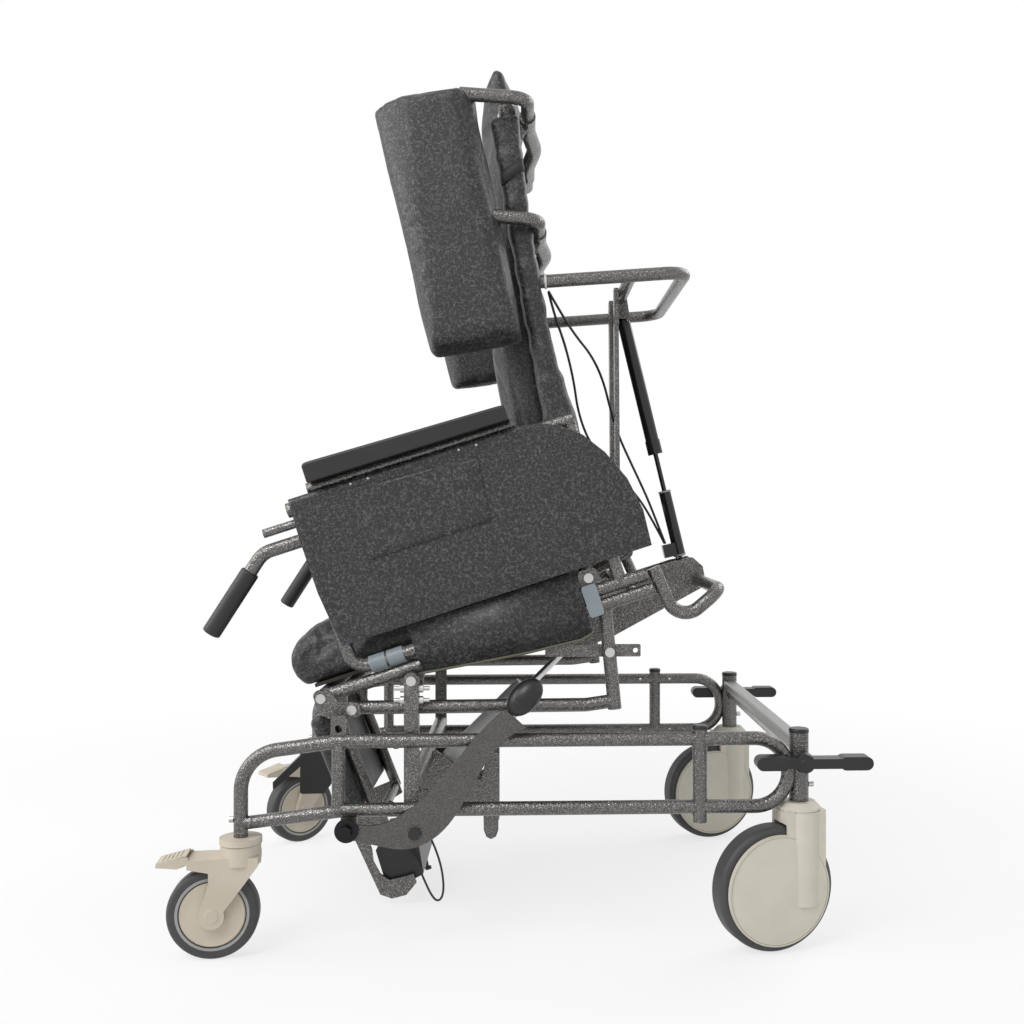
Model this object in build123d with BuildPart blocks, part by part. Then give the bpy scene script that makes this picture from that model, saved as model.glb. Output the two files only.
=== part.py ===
"""Tilt in space wheelchair.

+X points to the rear of the chair, -Y to the side nearest the viewer (the occupant's left),
+Z up, with the floor at Z = 0 and the middle plane at Y = 0. Millimetres and degrees.
"""

from build123d import *
import math
import os

os.makedirs("parts", exist_ok=True)

# ---- fits and fasteners -------------------------------------------------------------------
RUNNING_FIT = 0.06
BODY_GAP = 1.0
BOLT_D = 8.0
BOLT_HEAD_D = 14.0
BOLT_HEAD_H = 5.0
PLATE_T = 5.0

# ---- base ---------------------------------------------------------------------------------
FRAME_Y = 305.0
RAIL_D = 20.0
WELDED_D = 19.0
TOP_RAIL_Z = 301.0
BOTTOM_RAIL_Z = 203.5
REAR_LOOP_X = 389.0
REAR_LOOP_R = 48.0
STEM_X = -391.0
STEM_BOTTOM_Z = 168.0
STEM_TOP_Z = 283.0
STEM_BEND_R = 58.0
STEM_RAIL_Z = 186.0
FRONT_POST_X = -254.0
TAB_TOP_Z = 338.0
TAB_T = 6.0
TAB_HOLE_Z = 318.5
TAB_HOLE_D = 11.5
REAR_POST_X = 261.5
REAR_POST_D = 21.0
REAR_POST_BOTTOM_Z = 182.0
REAR_POST_TOP_Z = 315.0
CAP_H = 6.0
RAIL_HOLE_D = 5.0
RAIL_HOLE_SPACING = 57.0
CASTER_POST_X = 406.5
CASTER_POST_Y = 297.0
CASTER_POST_D = 28.0
CASTER_POST_TOP_Z = 308.0
CROSSBAR_Z = 290.0
CROSSBAR_W = 24.0
CROSSBAR_H = 18.0
CROSS_TUBE_D = 24.0
CROSS_TUBE_Z = 225.0
STEM_SCREW_Z = 192.0
POST_SCREW_Z = 233.0
STUD_ZS = (356.0, 373.0)
STUD_D = 6.0
STUD_L = 15.0

# ---- tilt pivot and its posts ---------------------------------------------------------------
PIVOT_X = -152.0
PIVOT_Z = 385.0
PIVOT_POST_W = 21.0
PIVOT_POST_T = 18.0
PIVOT_POST_Y = 288.0
PIVOT_POST_BOTTOM_Z = 196.0

# ---- casters --------------------------------------------------------------------------------
FRONT_WHEEL_R = 63.5
FRONT_TYRE_W = 30.0
FRONT_TRAIL = 37.0
FRONT_HUB_R = 51.0
FRONT_AXLE_D = 10.0
FRONT_NEAR_TURN = 6.0
FRONT_FAR_TURN = 38.0
FORK_OUT_W = 50.0
FORK_CYL_D = 56.0
FORK_RING_D = 59.0
PEDAL_W = 38.0
PEDAL_ROOT_X = -68.0
PEDAL_PIN_X = -76.0
PEDAL_PIN_Z = 141.0
PEDAL_PIN_D = 5.0
PEDAL_EAR_T = 4.0
REAR_WHEEL_R = 89.0
REAR_TYRE_W = 36.0
REAR_TRAIL = 43.0
REAR_TURN = 16.0
REAR_COVER_R = 78.5
REAR_COVER_HALF_W = 25.0
REAR_AXLE_D = 12.0
REAR_HOUSING_D = 62.0
REAR_HOUSING_TOP_Z = 209.5
REAR_HOUSING_RING_H = 12.0
REAR_HOUSING_CHAMFER = 8.0

# ---- central lock -----------------------------------------------------------------------------
LOCK_Z = 271.0
LOCK_SHAFT_D = 11.0
LOCK_PEDAL_L = 166.0
LOCK_PEDAL_OFFSET = 13.5
LOCK_PEDAL_Y = 330.0
LOCK_PEDAL_W = 26.0
LOCK_HUB_D = 26.0

# ---- side lever ---------------------------------------------------------------------------------
LEVER_X = -239.0
LEVER_Z = 180.5
LEVER_Y = 325.0
LEVER_T = 6.0
LEVER_HUB_D = 33.0
LEVER_BOSS_D = 22.0
LEVER_SCREW_X = -144.0
LEVER_SCREW_Z = 175.0
LEVER_HUB_T = 4.7
LEVER_HEAD_T = 7.7
KNOB_X = 10.6
KNOB_Z = 365.0
KNOB_HALF_L = 31.0
KNOB_HALF_W = 20.0

# ---- seat -----------------------------------------------------------------------------------------
SEAT_PITCH = 18.0
SEAT_RAIL_Y = 268.0
LOWER_RAIL_W = 15.0
UPPER_RAIL_W = 38.0
LEG_HINGE_U = -132.0
RAIL_REAR_U = 372.0
RAIL_ELBOW_R = 26.0
RAIL_STUB_W = 66.0
CROSS_TUBE_US = (-95.0, 150.0, 345.0)
CRADLE_Y = 264.0
CRADLE_FRONT_X = -238.0
CRADLE_FRONT_Z = 342.0
STRUT_TOP_X = 127.0
STRUT_TOP_Z = 492.0
STRUT_BOTTOM_X = 142.0
STRUT_BOTTOM_Z = 338.0
STRUT_BOLT_X = 134.0
CRADLE_BEND_X = 100.0
CRADLE_BEND_R = 60.0
FLAT_BAR_FRONT_X = 40.0
FLAT_BAR_REAR_X = 181.0
FLAT_BAR_Z = 422.0
FLAT_BAR_H = 18.0
FLAT_BAR_HOLE_X = 173.5
FLAT_BAR_HOLE_D = 7.6
SPINE_Y = 30.5
BUMPER_X = 297.0
BUMPER_Z = 513.0
BUMPER_LOW_X = 236.0
BUMPER_LOW_Z = 462.0
BUMPER_BEND_R = 28.0
BOARD_W = 28.0
BOARD_T = 5.0
CUSHION_HALF_Y = 238.0
CUSHION_BOTTOM_W = 34.0
CUSHION_TOP_W = 110.0
CUSHION_CROWN = 8.0
CUSHION_FRONT_U = -176.0
CUSHION_REAR_U = 294.0
CUSHION_SIDE_ROUND = 26.0
NOTCH_U = 264.0
NOTCH_IN_Y = 196.0
CLIP_U = 283.0
CLIP_W = 22.0
SLEEVE_US = (-40.0, -13.0)
SLEEVE_L = 24.0
SLEEVE_WALL = 2.5

# ---- arm rests, skirts and front handles ---------------------------------------------------------
ARM_TOP_W = 287.0
ARM_TOP_D = 22.0
ARM_FRONT_U = -97.0
ARM_REAR_U = 330.0
ARM_UPRIGHT_U = -78.0
ARM_TUBE_D = 18.0
ARM_TUBE_FRONT_U = -59.0
ARM_TUBE_REAR_U = 253.0
PAD_FRONT_U = -52.0
PAD_L = 300.0
PAD_W = 58.0
PAD_T = 18.0
PAD_FRONT_RISE = 58.0
PAD_REAR_RISE = 46.0
PAD_FRONT_W = ARM_TOP_W + PAD_FRONT_RISE
PAD_REAR_W = ARM_TOP_W + PAD_REAR_RISE
PAD_Y = 280.0
SKIRT_T = 7.0
SKIRT_Y = 287.0
HANDLE_W = 240.0
HANDLE_D = 20.0
HANDLE_SOCKET_D = 26.0
HANDLE_BEND_R = 36.0
HANDLE_END_X = -386.0
HANDLE_END_Z = 540.0
PLUNGER_W = 266.0
PLUNGER_D = 13.0
GRIP_D = 27.0
GRIP_L = 106.0
GRIP_CORE_D = 14.0

# ---- back -----------------------------------------------------------------------------------------
RECLINE_X = 103.0
RECLINE_Z = 530.0
BACK_LEAN = 9.75
POST_Y = 215.0
POST_D = 25.0
POST_TOP_H = 716.0
POST_BOW = -9.0
POST_BOW_R = 300.0
POST_BOW_DROP = 156.0
BACK_HINGE_Y = 256.0
BACK_HINGE_D = 18.0
TOP_CROSS_DROP = 44.0
BACK_CROSS_HS = (140.0, 500.0, POST_TOP_H - TOP_CROSS_DROP)
PUSH_BAR_Y = 202.0
PUSH_BAR_REAR_X = 256.0
PUSH_BAR_REAR_Z = 992.0
PUSH_BAR_FRONT_X = 23.0
PUSH_BAR_FRONT_Z = 974.5
PUSH_BAR_BEND_R = 34.0
PUSH_CROSS_X = 171.0
BRACE_Y = 60.0
BRACE_W = 25.0
BRACE_T = 7.0
LOWER_CROSS_X = 163.0
LOWER_CROSS_Z = 566.0
SPRING_LUG_Y = 17.0
BACK_SLEEVE_IN_Y = 190.0
BACK_SLEEVE_OUT_Y = 231.0
BACK_CUSHION_HALF_Y = 187.0
HOOP_ARM_D = 20.0
HOOP_SLEEVE_D = 25.0
HOOP_ARM_Y = 252.0
HOOP_UPPER_X = 14.0
HOOP_UPPER_Z = 1236.0
HOOP_LOWER_X = 31.0
HOOP_LOWER_Z = 1057.0
HOOP_BOW = 12.0
HOOP_SLEEVE_END_Y = 172.0
HOOP_ARM_END_Y = 112.0
HOOP_BEND_R = 24.0
WING_OUT_Y = 279.0
WING_BEVEL_Y = 242.0
WING_INNER_CHAMFER = 8.0
WING_IN_Y = 212.0

# ---- gas springs ------------------------------------------------------------------------------------
TILT_LOW_X = -153.0
TILT_LOW_Z = 166.0
TILT_TOP_X = 112.0
TILT_TOP_Z = 428.0
TILT_CYL_D = 46.0
TILT_CYL_L = 214.0
TILT_ROD_D = 12.0
TILT_LUG_Y = 38.5
SPRING_EYE_D = 26.0
SPRING_EYE_BORE = 18.0
SPRING_EYE_HALF_W = 10.0
SPRING_PIN_D = 8.0
SPRING_BORE_END = 40.0
TILT_ROD_ENGAGED = 40.0
RECLINE_TOP_X = 173.5
RECLINE_TOP_Z = 959.0
RECLINE_LOW_X = 276.0
RECLINE_LOW_Z = 534.7
RECLINE_CYL_D = 22.5
RECLINE_CYL_L = 242.0
RECLINE_COLLAR_D = 25.0
RECLINE_COLLAR_L = 24.0
RECLINE_ROD_D = 8.0
RECLINE_SLEEVE_D = 20.0
RECLINE_SLEEVE_L = 112.0
RECLINE_SLEEVE_FROM = 306.0
RECLINE_ROD_ENGAGED = 60.0
RECLINE_EYE_D = 20.0
RECLINE_EYE_BORE = 13.5
RELEASE_HEAD_FROM = 20.0
RELEASE_HEAD_TO = 42.0
RELEASE_HEAD_OUT = 26.0
RELEASE_HEAD_HALF_Y = 9.0

# ---- leg rest -----------------------------------------------------------------------------------------
LEG_SLANT = 21.5
LEG_HINGE_TUBE_D = 22.0
LEG_BAR_Y = 120.0
LEG_BAR_D = 18.0
LEG_HINGE_HALF_Y = 250.0
LEG_BAR_N = 21.0
LEG_BAR_TOP_D = 36.0
LEG_BAR_END_D = 226.0
CALF_HALF_Y = 165.0
CALF_FRONT_N = 64.0
CALF_BACK_N = 30.0
CALF_TOP_D = 28.0
CALF_BOTTOM_D = 205.0
FOOT_PLATE_Y = 100.0
FOOT_BLOCK_HALF_Y = 94.0
FOOT_HINGE_X = -182.8
FOOT_HINGE_Z = 40.5
HEEL_HALF_Y = 60.0

# ---- release cables --------------------------------------------------------------------------------------
CABLE_D = 4.0
LEG_CABLE_D = 3.5


def side_plane(y):
    """Upright plane at depth y whose sketch axes are X and Z, seen from the near side."""
    return Plane(origin=(0, y, 0), x_dir=(1, 0, 0), z_dir=(0, -1, 0))


def leaning_plane(x, z, angle, y=0.0):
    """Upright plane at (x, y, z) whose sketch x axis rises to the rear by angle."""
    slope = math.radians(angle)
    return Plane(origin=(x, y, z), x_dir=(math.cos(slope), 0, math.sin(slope)), z_dir=(0, -1, 0))


def seat_plane(y=0.0):
    return leaning_plane(PIVOT_X, PIVOT_Z, SEAT_PITCH, y)


def back_plane(y=0.0):
    return leaning_plane(RECLINE_X, RECLINE_Z, BACK_LEAN, y)


def leg_plane(y=0.0):
    """Sketch x runs forward from the leg rest, sketch y up along it, from its hinge."""
    hinge = seat_plane(y).from_local_coords(Vector(LEG_HINGE_U, LOWER_RAIL_W, 0))
    slope = math.radians(LEG_SLANT)
    return Plane(origin=hinge, x_dir=(-math.cos(slope), 0, -math.sin(slope)), z_dir=(0, 1, 0))


def on(plane, x, y):
    """The point of a leaning plane at sketch coordinates x, y."""
    return plane.from_local_coords(Vector(x, y, 0))


def rod(start, end, diameter, mode=Mode.ADD):
    """Round bar from start to end, added to the part being built."""
    axis = Vector(*end) - Vector(*start)
    with BuildSketch(Plane(origin=Vector(*start), z_dir=axis)) as section:
        Circle(diameter / 2)
    extrude(section.sketch, amount=axis.length, mode=mode)


def bent(points, diameter, radii):
    """Round bar along straight runs joined by arcs, added to the part being built."""
    with BuildLine() as path:
        FilletPolyline(*[Vector(*p) for p in points], radius=radii)
    with BuildSketch(Plane(origin=path.line @ 0, z_dir=path.line % 0)) as section:
        Circle(diameter / 2)
    sweep(section.sketch, path=path.line)


def slab(plane, points, thickness, corner=0.0, mode=Mode.ADD):
    """Flat plate with the given outline, half its thickness on each side of the plane."""
    with BuildSketch(plane) as outline:
        with BuildLine():
            Polyline(*points, close=True)
        make_face()
        if corner:
            fillet(outline.vertices(), corner)
    extrude(outline.sketch, amount=thickness / 2, both=True, mode=mode)


def both_sides(part):
    """The near piece and its mirror image on the far side, as one group of solids."""
    return Compound(children=[part, mirror(part, about=Plane.XZ)])


def keep(part, name):
    part.label = name
    export_step(part, f"parts/{name}.step")
    return part


# ==== base frames ============================================================================
with BuildPart() as base_frame_near:
    rail_plane = side_plane(-FRAME_Y)
    bent(
        [
            on(rail_plane, STEM_X, STEM_BOTTOM_Z),
            on(rail_plane, STEM_X, STEM_TOP_Z),
            on(rail_plane, FRONT_POST_X, TOP_RAIL_Z),
            on(rail_plane, REAR_LOOP_X, TOP_RAIL_Z),
            on(rail_plane, REAR_LOOP_X, BOTTOM_RAIL_Z),
            on(rail_plane, FRONT_POST_X - 4, BOTTOM_RAIL_Z),
        ],
        RAIL_D,
        [STEM_BEND_R, 150.0, REAR_LOOP_R, REAR_LOOP_R],
    )
    rod(
        on(rail_plane, STEM_X, STEM_RAIL_Z),
        on(rail_plane, FRONT_POST_X + 6, BOTTOM_RAIL_Z - 1),
        WELDED_D - 0.4,
    )
    rod(
        on(rail_plane, FRONT_POST_X, BOTTOM_RAIL_Z - 2),
        on(rail_plane, FRONT_POST_X, TOP_RAIL_Z + 2),
        WELDED_D,
    )
    rod(
        on(rail_plane, REAR_POST_X, REAR_POST_BOTTOM_Z),
        on(rail_plane, REAR_POST_X, REAR_POST_TOP_Z),
        REAR_POST_D,
    )
    # flattened tab on top of the front post, with its round hole
    with BuildSketch(rail_plane) as tab:
        with Locations((FRONT_POST_X, (TOP_RAIL_Z + TAB_TOP_Z) / 2)):
            Rectangle(RAIL_D + 1, TAB_TOP_Z - TOP_RAIL_Z)
        fillet(tab.vertices().group_by(Axis.Y)[-1], 4.0)
        with Locations((FRONT_POST_X, TAB_HOLE_Z)):
            Circle(TAB_HOLE_D / 2, mode=Mode.SUBTRACT)
    extrude(amount=TAB_T / 2, both=True)
    # tilt pivot post, welded to the inside of both rails, with a rounded top round its bolt
    with BuildSketch(side_plane(-PIVOT_POST_Y)):
        with Locations((PIVOT_X, (PIVOT_POST_BOTTOM_Z + PIVOT_Z) / 2)):
            Rectangle(PIVOT_POST_W, PIVOT_Z - PIVOT_POST_BOTTOM_Z)
        with Locations((PIVOT_X, PIVOT_Z)):
            Circle(PIVOT_POST_W / 2 + 1)
        with Locations((PIVOT_X, PIVOT_Z)):
            Circle(BOLT_D / 2 + RUNNING_FIT, mode=Mode.SUBTRACT)
    extrude(amount=PIVOT_POST_T / 2, both=True)
    # rear caster post, bored for the lock shaft
    rod(
        (CASTER_POST_X, -CASTER_POST_Y, REAR_HOUSING_TOP_Z + BODY_GAP),
        (CASTER_POST_X, -CASTER_POST_Y, CASTER_POST_TOP_Z),
        CASTER_POST_D,
    )
    lock_bore = LOCK_SHAFT_D / 2 + BODY_GAP
    lock_near = -CASTER_POST_Y - CASTER_POST_D
    lock_far = -CASTER_POST_Y + CASTER_POST_D
    rod(
        (CASTER_POST_X, lock_near, LOCK_Z),
        (CASTER_POST_X, lock_far, LOCK_Z),
        2 * lock_bore,
        Mode.SUBTRACT,
    )
    # boss under the bottom rail that carries the side lever
    boss_in = -FRAME_Y + RAIL_D / 2
    boss_out = -LEVER_Y + LEVER_T / 2 + BODY_GAP
    rod((LEVER_X, boss_in, LEVER_Z), (LEVER_X, boss_out, LEVER_Z), LEVER_BOSS_D)
    slab(
        side_plane(-FRAME_Y),
        [
            (LEVER_X - 12, LEVER_Z),
            (LEVER_X + 12, LEVER_Z),
            (LEVER_X + 10, BOTTOM_RAIL_Z),
            (LEVER_X - 10, BOTTOM_RAIL_Z),
        ],
        2 * PLATE_T,
    )
    rod((LEVER_X, -FRAME_Y + RAIL_D, LEVER_Z), (LEVER_X, -LEVER_Y, LEVER_Z), BOLT_D, Mode.SUBTRACT)
    # small through holes on either side of the rear post
    for rail_z in (TOP_RAIL_Z, BOTTOM_RAIL_Z):
        for side in (-1, 1):
            hole_x = REAR_POST_X + side * RAIL_HOLE_SPACING / 2
            rod(
                (hole_x, -FRAME_Y - RAIL_D, rail_z),
                (hole_x, -FRAME_Y + RAIL_D, rail_z),
                RAIL_HOLE_D,
                Mode.SUBTRACT,
            )
keep(base_frame_near.part, "base_frame_near")
keep(mirror(base_frame_near.part, about=Plane.XZ), "base_frame_far")

with BuildPart() as base_cross_tube:
    tube_end = PIVOT_POST_Y - PIVOT_POST_T / 2
    rod((PIVOT_X, -tube_end, CROSS_TUBE_Z), (PIVOT_X, tube_end, CROSS_TUBE_Z), CROSS_TUBE_D)
    # two lugs that carry the foot of the tilt spring and reach back to a hanging stop
    for lug_y in (-TILT_LUG_Y, TILT_LUG_Y):
        slab(
            side_plane(lug_y),
            [
                (PIVOT_X - 16, CROSS_TUBE_Z + 8),
                (PIVOT_X + 16, CROSS_TUBE_Z + 8),
                (-62, 182),
                (-52, 228),
                (-34, 228),
                (-34, 102),
                (-38, 91),
                (-46, 87),
                (-54, 91),
                (-58, 102),
                (-59, 140),
                (TILT_LOW_X + 4, TILT_LOW_Z - 18),
                (TILT_LOW_X - 14, TILT_LOW_Z - 16),
            ],
            PLATE_T,
            3.0,
        )
    pin_half = TILT_LUG_Y + PLATE_T / 2 + 3.5
    rod((TILT_LOW_X, -pin_half, TILT_LOW_Z), (TILT_LOW_X, pin_half, TILT_LOW_Z), SPRING_PIN_D)
keep(base_cross_tube.part, "base_cross_tube")

with BuildPart() as base_rear_crossbar:
    bar_start = (CASTER_POST_X, -CASTER_POST_Y, CROSSBAR_Z)
    with BuildSketch(Plane(origin=bar_start, x_dir=(1, 0, 0), z_dir=(0, 1, 0))):
        RectangleRounded(CROSSBAR_W, CROSSBAR_H, 5.0)
    extrude(amount=2 * CASTER_POST_Y)
    for post_y in (-CASTER_POST_Y, CASTER_POST_Y):
        rod(
            (CASTER_POST_X, post_y, REAR_HOUSING_TOP_Z),
            (CASTER_POST_X, post_y, CASTER_POST_TOP_Z + CAP_H),
            CASTER_POST_D,
            Mode.SUBTRACT,
        )
keep(base_rear_crossbar.part, "base_rear_crossbar")

with BuildPart() as post_cap:
    cap_z = REAR_POST_TOP_Z
    rod((REAR_POST_X, -FRAME_Y, cap_z), (REAR_POST_X, -FRAME_Y, cap_z + CAP_H), REAR_POST_D + 1)
    fillet(post_cap.edges().group_by(Axis.Z)[-1], 2.5)
with BuildPart() as caster_cap:
    cap_z = CASTER_POST_TOP_Z
    rod(
        (CASTER_POST_X, -CASTER_POST_Y, cap_z),
        (CASTER_POST_X, -CASTER_POST_Y, cap_z + CAP_H),
        CASTER_POST_D + 1,
    )
    fillet(caster_cap.edges().group_by(Axis.Z)[-1], 2.5)
keep(both_sides(Compound(children=[post_cap.part, caster_cap.part])), "base_caps")

with BuildPart() as stem_screw:
    screw_x = STEM_X - RAIL_D / 2
    rod((screw_x, -FRAME_Y, STEM_SCREW_Z), (screw_x - 6, -FRAME_Y, STEM_SCREW_Z), 9.0)
with BuildPart() as post_screw:
    screw_x = CASTER_POST_X + CASTER_POST_D / 2
    rod((screw_x, -CASTER_POST_Y, POST_SCREW_Z), (screw_x + 7, -CASTER_POST_Y, POST_SCREW_Z), 8.0)
with BuildPart() as clamp_studs:
    for stud_z in STUD_ZS:
        for face in (-1, 1):
            stud_x = PIVOT_X + face * PIVOT_POST_W / 2
            rod((stud_x, -PIVOT_POST_Y, stud_z), (stud_x + face * STUD_L, -PIVOT_POST_Y, stud_z), STUD_D)
            rod((stud_x, -PIVOT_POST_Y, stud_z), (stud_x + face * 6, -PIVOT_POST_Y, stud_z), 2 * STUD_D)
screw_pieces = [stem_screw.part, post_screw.part, *clamp_studs.part.solids()]
keep(both_sides(Compound(children=screw_pieces)), "base_screws")


# ==== front casters ==========================================================================
# Built round a stem on the Z axis with the wheel trailing towards -X, then set in place.
FORK_INNER_HALF = FRONT_TYRE_W / 2 + 2.0
FORK_CHEEK_T = FORK_OUT_W / 2 - FORK_INNER_HALF
FORK_ROOF_Z = 2 * FRONT_WHEEL_R + 4.0
with BuildSketch(Plane.XZ) as cheek:
    with BuildLine():
        Polyline(
            (26, FORK_ROOF_Z + 12),
            (26, FORK_ROOF_Z),
            (-FRONT_TRAIL + 16.5, FRONT_WHEEL_R + 6),
            (-FRONT_TRAIL, FRONT_WHEEL_R),
            (-FRONT_TRAIL - 17.0, FRONT_WHEEL_R + 5),
            (-FRONT_TRAIL - 4, 108),
            (-FRONT_TRAIL - 4, 124),
            (-70, 130),
            (-70, FORK_ROOF_Z + 12),
            close=True,
        )
    make_face()
    with Locations((-FRONT_TRAIL, FRONT_WHEEL_R)):
        Circle(17.6)
with BuildPart() as front_fork:
    for side in (-1, 1):
        offset = side * (FORK_INNER_HALF + FORK_CHEEK_T / 2)
        extrude(cheek.sketch.moved(Location((0, offset, 0))), amount=FORK_CHEEK_T / 2, both=True)
    with BuildSketch(Plane.XY.offset(FORK_ROOF_Z)):
        RectangleRounded(52, FORK_OUT_W, 8)
    extrude(amount=12)
    with BuildSketch(Plane.XY.offset(FORK_ROOF_Z)):
        with Locations((-45, 0)):
            Rectangle(50, FORK_OUT_W)
    extrude(amount=12)
    with BuildSketch(Plane.XY.offset(FORK_ROOF_Z)):
        Circle(FORK_CYL_D / 2)
    extrude(amount=STEM_BOTTOM_Z - 10 - FORK_ROOF_Z)
    with BuildSketch(Plane.XY.offset(STEM_BOTTOM_Z - 9)):
        Circle(FORK_RING_D / 2)
    extrude(amount=8.5)
    with BuildSketch(Plane.XY.offset(STEM_BOTTOM_Z - 11)):
        Circle(FORK_CYL_D / 2 - 2)
    extrude(amount=3)
    axle_end = FORK_OUT_W / 2 - 1
    rod((-FRONT_TRAIL, -axle_end, FRONT_WHEEL_R), (-FRONT_TRAIL, axle_end, FRONT_WHEEL_R), FRONT_AXLE_D)
    # two ears that carry the pin of the brake pedal
    for side in (-1, 1):
        ear_y = side * (PEDAL_W + PEDAL_EAR_T + BODY_GAP) / 2
        with BuildSketch(side_plane(ear_y)):
            with Locations((PEDAL_PIN_X, PEDAL_PIN_Z)):
                Circle(PEDAL_PIN_D)
            with Locations(((PEDAL_PIN_X + PEDAL_ROOT_X) / 2, PEDAL_PIN_Z)):
                Rectangle(PEDAL_ROOT_X - PEDAL_PIN_X, 2 * PEDAL_PIN_D)
            with Locations((PEDAL_PIN_X, PEDAL_PIN_Z)):
                Circle(PEDAL_PIN_D / 2 + RUNNING_FIT, mode=Mode.SUBTRACT)
        extrude(amount=PEDAL_EAR_T / 2, both=True)

with BuildPart() as front_pedal:
    with BuildSketch(Plane.XZ):
        with BuildLine():
            Polyline((-73, 134), (-71, 149), (-112, 139), (-113, 133), (-84, 130), close=True)
        make_face()
    extrude(amount=PEDAL_W / 2, both=True)
    pin_end = PEDAL_W / 2 + PEDAL_EAR_T + BODY_GAP / 2
    rod((PEDAL_PIN_X, -pin_end, PEDAL_PIN_Z), (PEDAL_PIN_X, pin_end, PEDAL_PIN_Z), PEDAL_PIN_D)
    ribs = [-80 - 6 * step for step in range(5)]
    for rib_x in ribs:
        rib_z = 149 + (rib_x + 71) * 10 / 41
        rod((rib_x, -PEDAL_W / 2 + 4, rib_z), (rib_x, PEDAL_W / 2 - 4, rib_z), 2.0)

with BuildPart() as front_tyre:
    with BuildSketch(Plane.XZ):
        with Locations((-FRONT_TRAIL, FRONT_WHEEL_R)):
            Circle(FRONT_WHEEL_R)
            Circle(FRONT_HUB_R, mode=Mode.SUBTRACT)
    extrude(amount=FRONT_TYRE_W / 2, both=True)
    fillet(front_tyre.edges().filter_by(GeomType.CIRCLE).sort_by(SortBy.RADIUS)[-2:], 7.0)

with BuildPart() as front_hub:
    with BuildSketch(Plane.XZ):
        with Locations((-FRONT_TRAIL, FRONT_WHEEL_R)):
            Circle(FRONT_HUB_R)
            Circle(FRONT_AXLE_D / 2 + RUNNING_FIT, mode=Mode.SUBTRACT)
    extrude(amount=FRONT_TYRE_W / 2 - 1, both=True)

FRONT_CASTERS = {
    "near": Location((STEM_X, -FRAME_Y, 0), (0, 0, FRONT_NEAR_TURN)),
    "far": Location((STEM_X, FRAME_Y, 0), (0, 0, FRONT_FAR_TURN)),
}
for side_name, place in FRONT_CASTERS.items():
    keep(front_fork.part.moved(place), f"front_fork_{side_name}")
    keep(front_pedal.part.moved(place), f"front_pedal_{side_name}")
    keep(front_tyre.part.moved(place), f"front_tyre_{side_name}")
    keep(front_hub.part.moved(place), f"front_hub_{side_name}")

# ==== rear casters ===========================================================================
with BuildPart() as rear_housing:
    # two side covers joined by the swivel cylinder, open between them for the wheel
    with BuildSketch(Plane.XZ):
        with Locations((-REAR_TRAIL, REAR_WHEEL_R)):
            Circle(REAR_COVER_R)
        with Locations((0, (REAR_WHEEL_R + REAR_HOUSING_TOP_Z) / 2)):
            Rectangle(REAR_HOUSING_D - 2, REAR_HOUSING_TOP_Z - REAR_WHEEL_R - 20)
    extrude(amount=REAR_COVER_HALF_W, both=True)
    with BuildSketch(Plane.XY.offset(REAR_WHEEL_R - 25)):
        Circle(REAR_HOUSING_D / 2)
    extrude(amount=REAR_HOUSING_TOP_Z - REAR_WHEEL_R + 25)
    chamfer(rear_housing.edges().group_by(Axis.Z)[-1], REAR_HOUSING_CHAMFER)
    with BuildSketch(Plane.XY.offset(REAR_HOUSING_TOP_Z - REAR_HOUSING_RING_H)):
        Circle(REAR_HOUSING_D / 2 + 1)
        Circle(REAR_HOUSING_D / 2 - 1, mode=Mode.SUBTRACT)
    extrude(amount=1.6, mode=Mode.SUBTRACT)
    with BuildSketch(Plane.XZ):
        with Locations((-REAR_TRAIL, REAR_WHEEL_R)):
            Circle(REAR_WHEEL_R + 3)
    extrude(amount=REAR_TYRE_W / 2 + 1, both=True, mode=Mode.SUBTRACT)
    axle_end = REAR_COVER_HALF_W - 3
    rod((-REAR_TRAIL, -axle_end, REAR_WHEEL_R), (-REAR_TRAIL, axle_end, REAR_WHEEL_R), REAR_AXLE_D)

with BuildPart() as rear_wheel:
    with BuildSketch(Plane.XZ):
        with Locations((-REAR_TRAIL, REAR_WHEEL_R)):
            Circle(REAR_WHEEL_R)
            Circle(REAR_AXLE_D / 2 + RUNNING_FIT, mode=Mode.SUBTRACT)
    extrude(amount=REAR_TYRE_W / 2, both=True)
    fillet(rear_wheel.edges().filter_by(GeomType.CIRCLE).sort_by(SortBy.RADIUS)[-2:], 8.0)

REAR_CASTERS = {
    "near": Location((CASTER_POST_X, -CASTER_POST_Y, 0), (0, 0, REAR_TURN)),
    "far": Location((CASTER_POST_X, CASTER_POST_Y, 0), (0, 0, REAR_TURN)),
}
for side_name, place in REAR_CASTERS.items():
    keep(rear_housing.part.moved(place), f"rear_housing_{side_name}")
    keep(rear_wheel.part.moved(place), f"rear_wheel_{side_name}")

# ==== central lock ===========================================================================
with BuildPart() as lock_shaft:
    shaft_half = LOCK_PEDAL_Y + LOCK_PEDAL_W / 2 - 4
    shaft_start = (CASTER_POST_X, -shaft_half, LOCK_Z)
    with BuildSketch(Plane(origin=shaft_start, x_dir=(1, 0, 0), z_dir=(0, 1, 0))):
        RegularPolygon(LOCK_SHAFT_D / 2, 6)
    extrude(amount=2 * shaft_half)
keep(lock_shaft.part, "lock_shaft")

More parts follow.
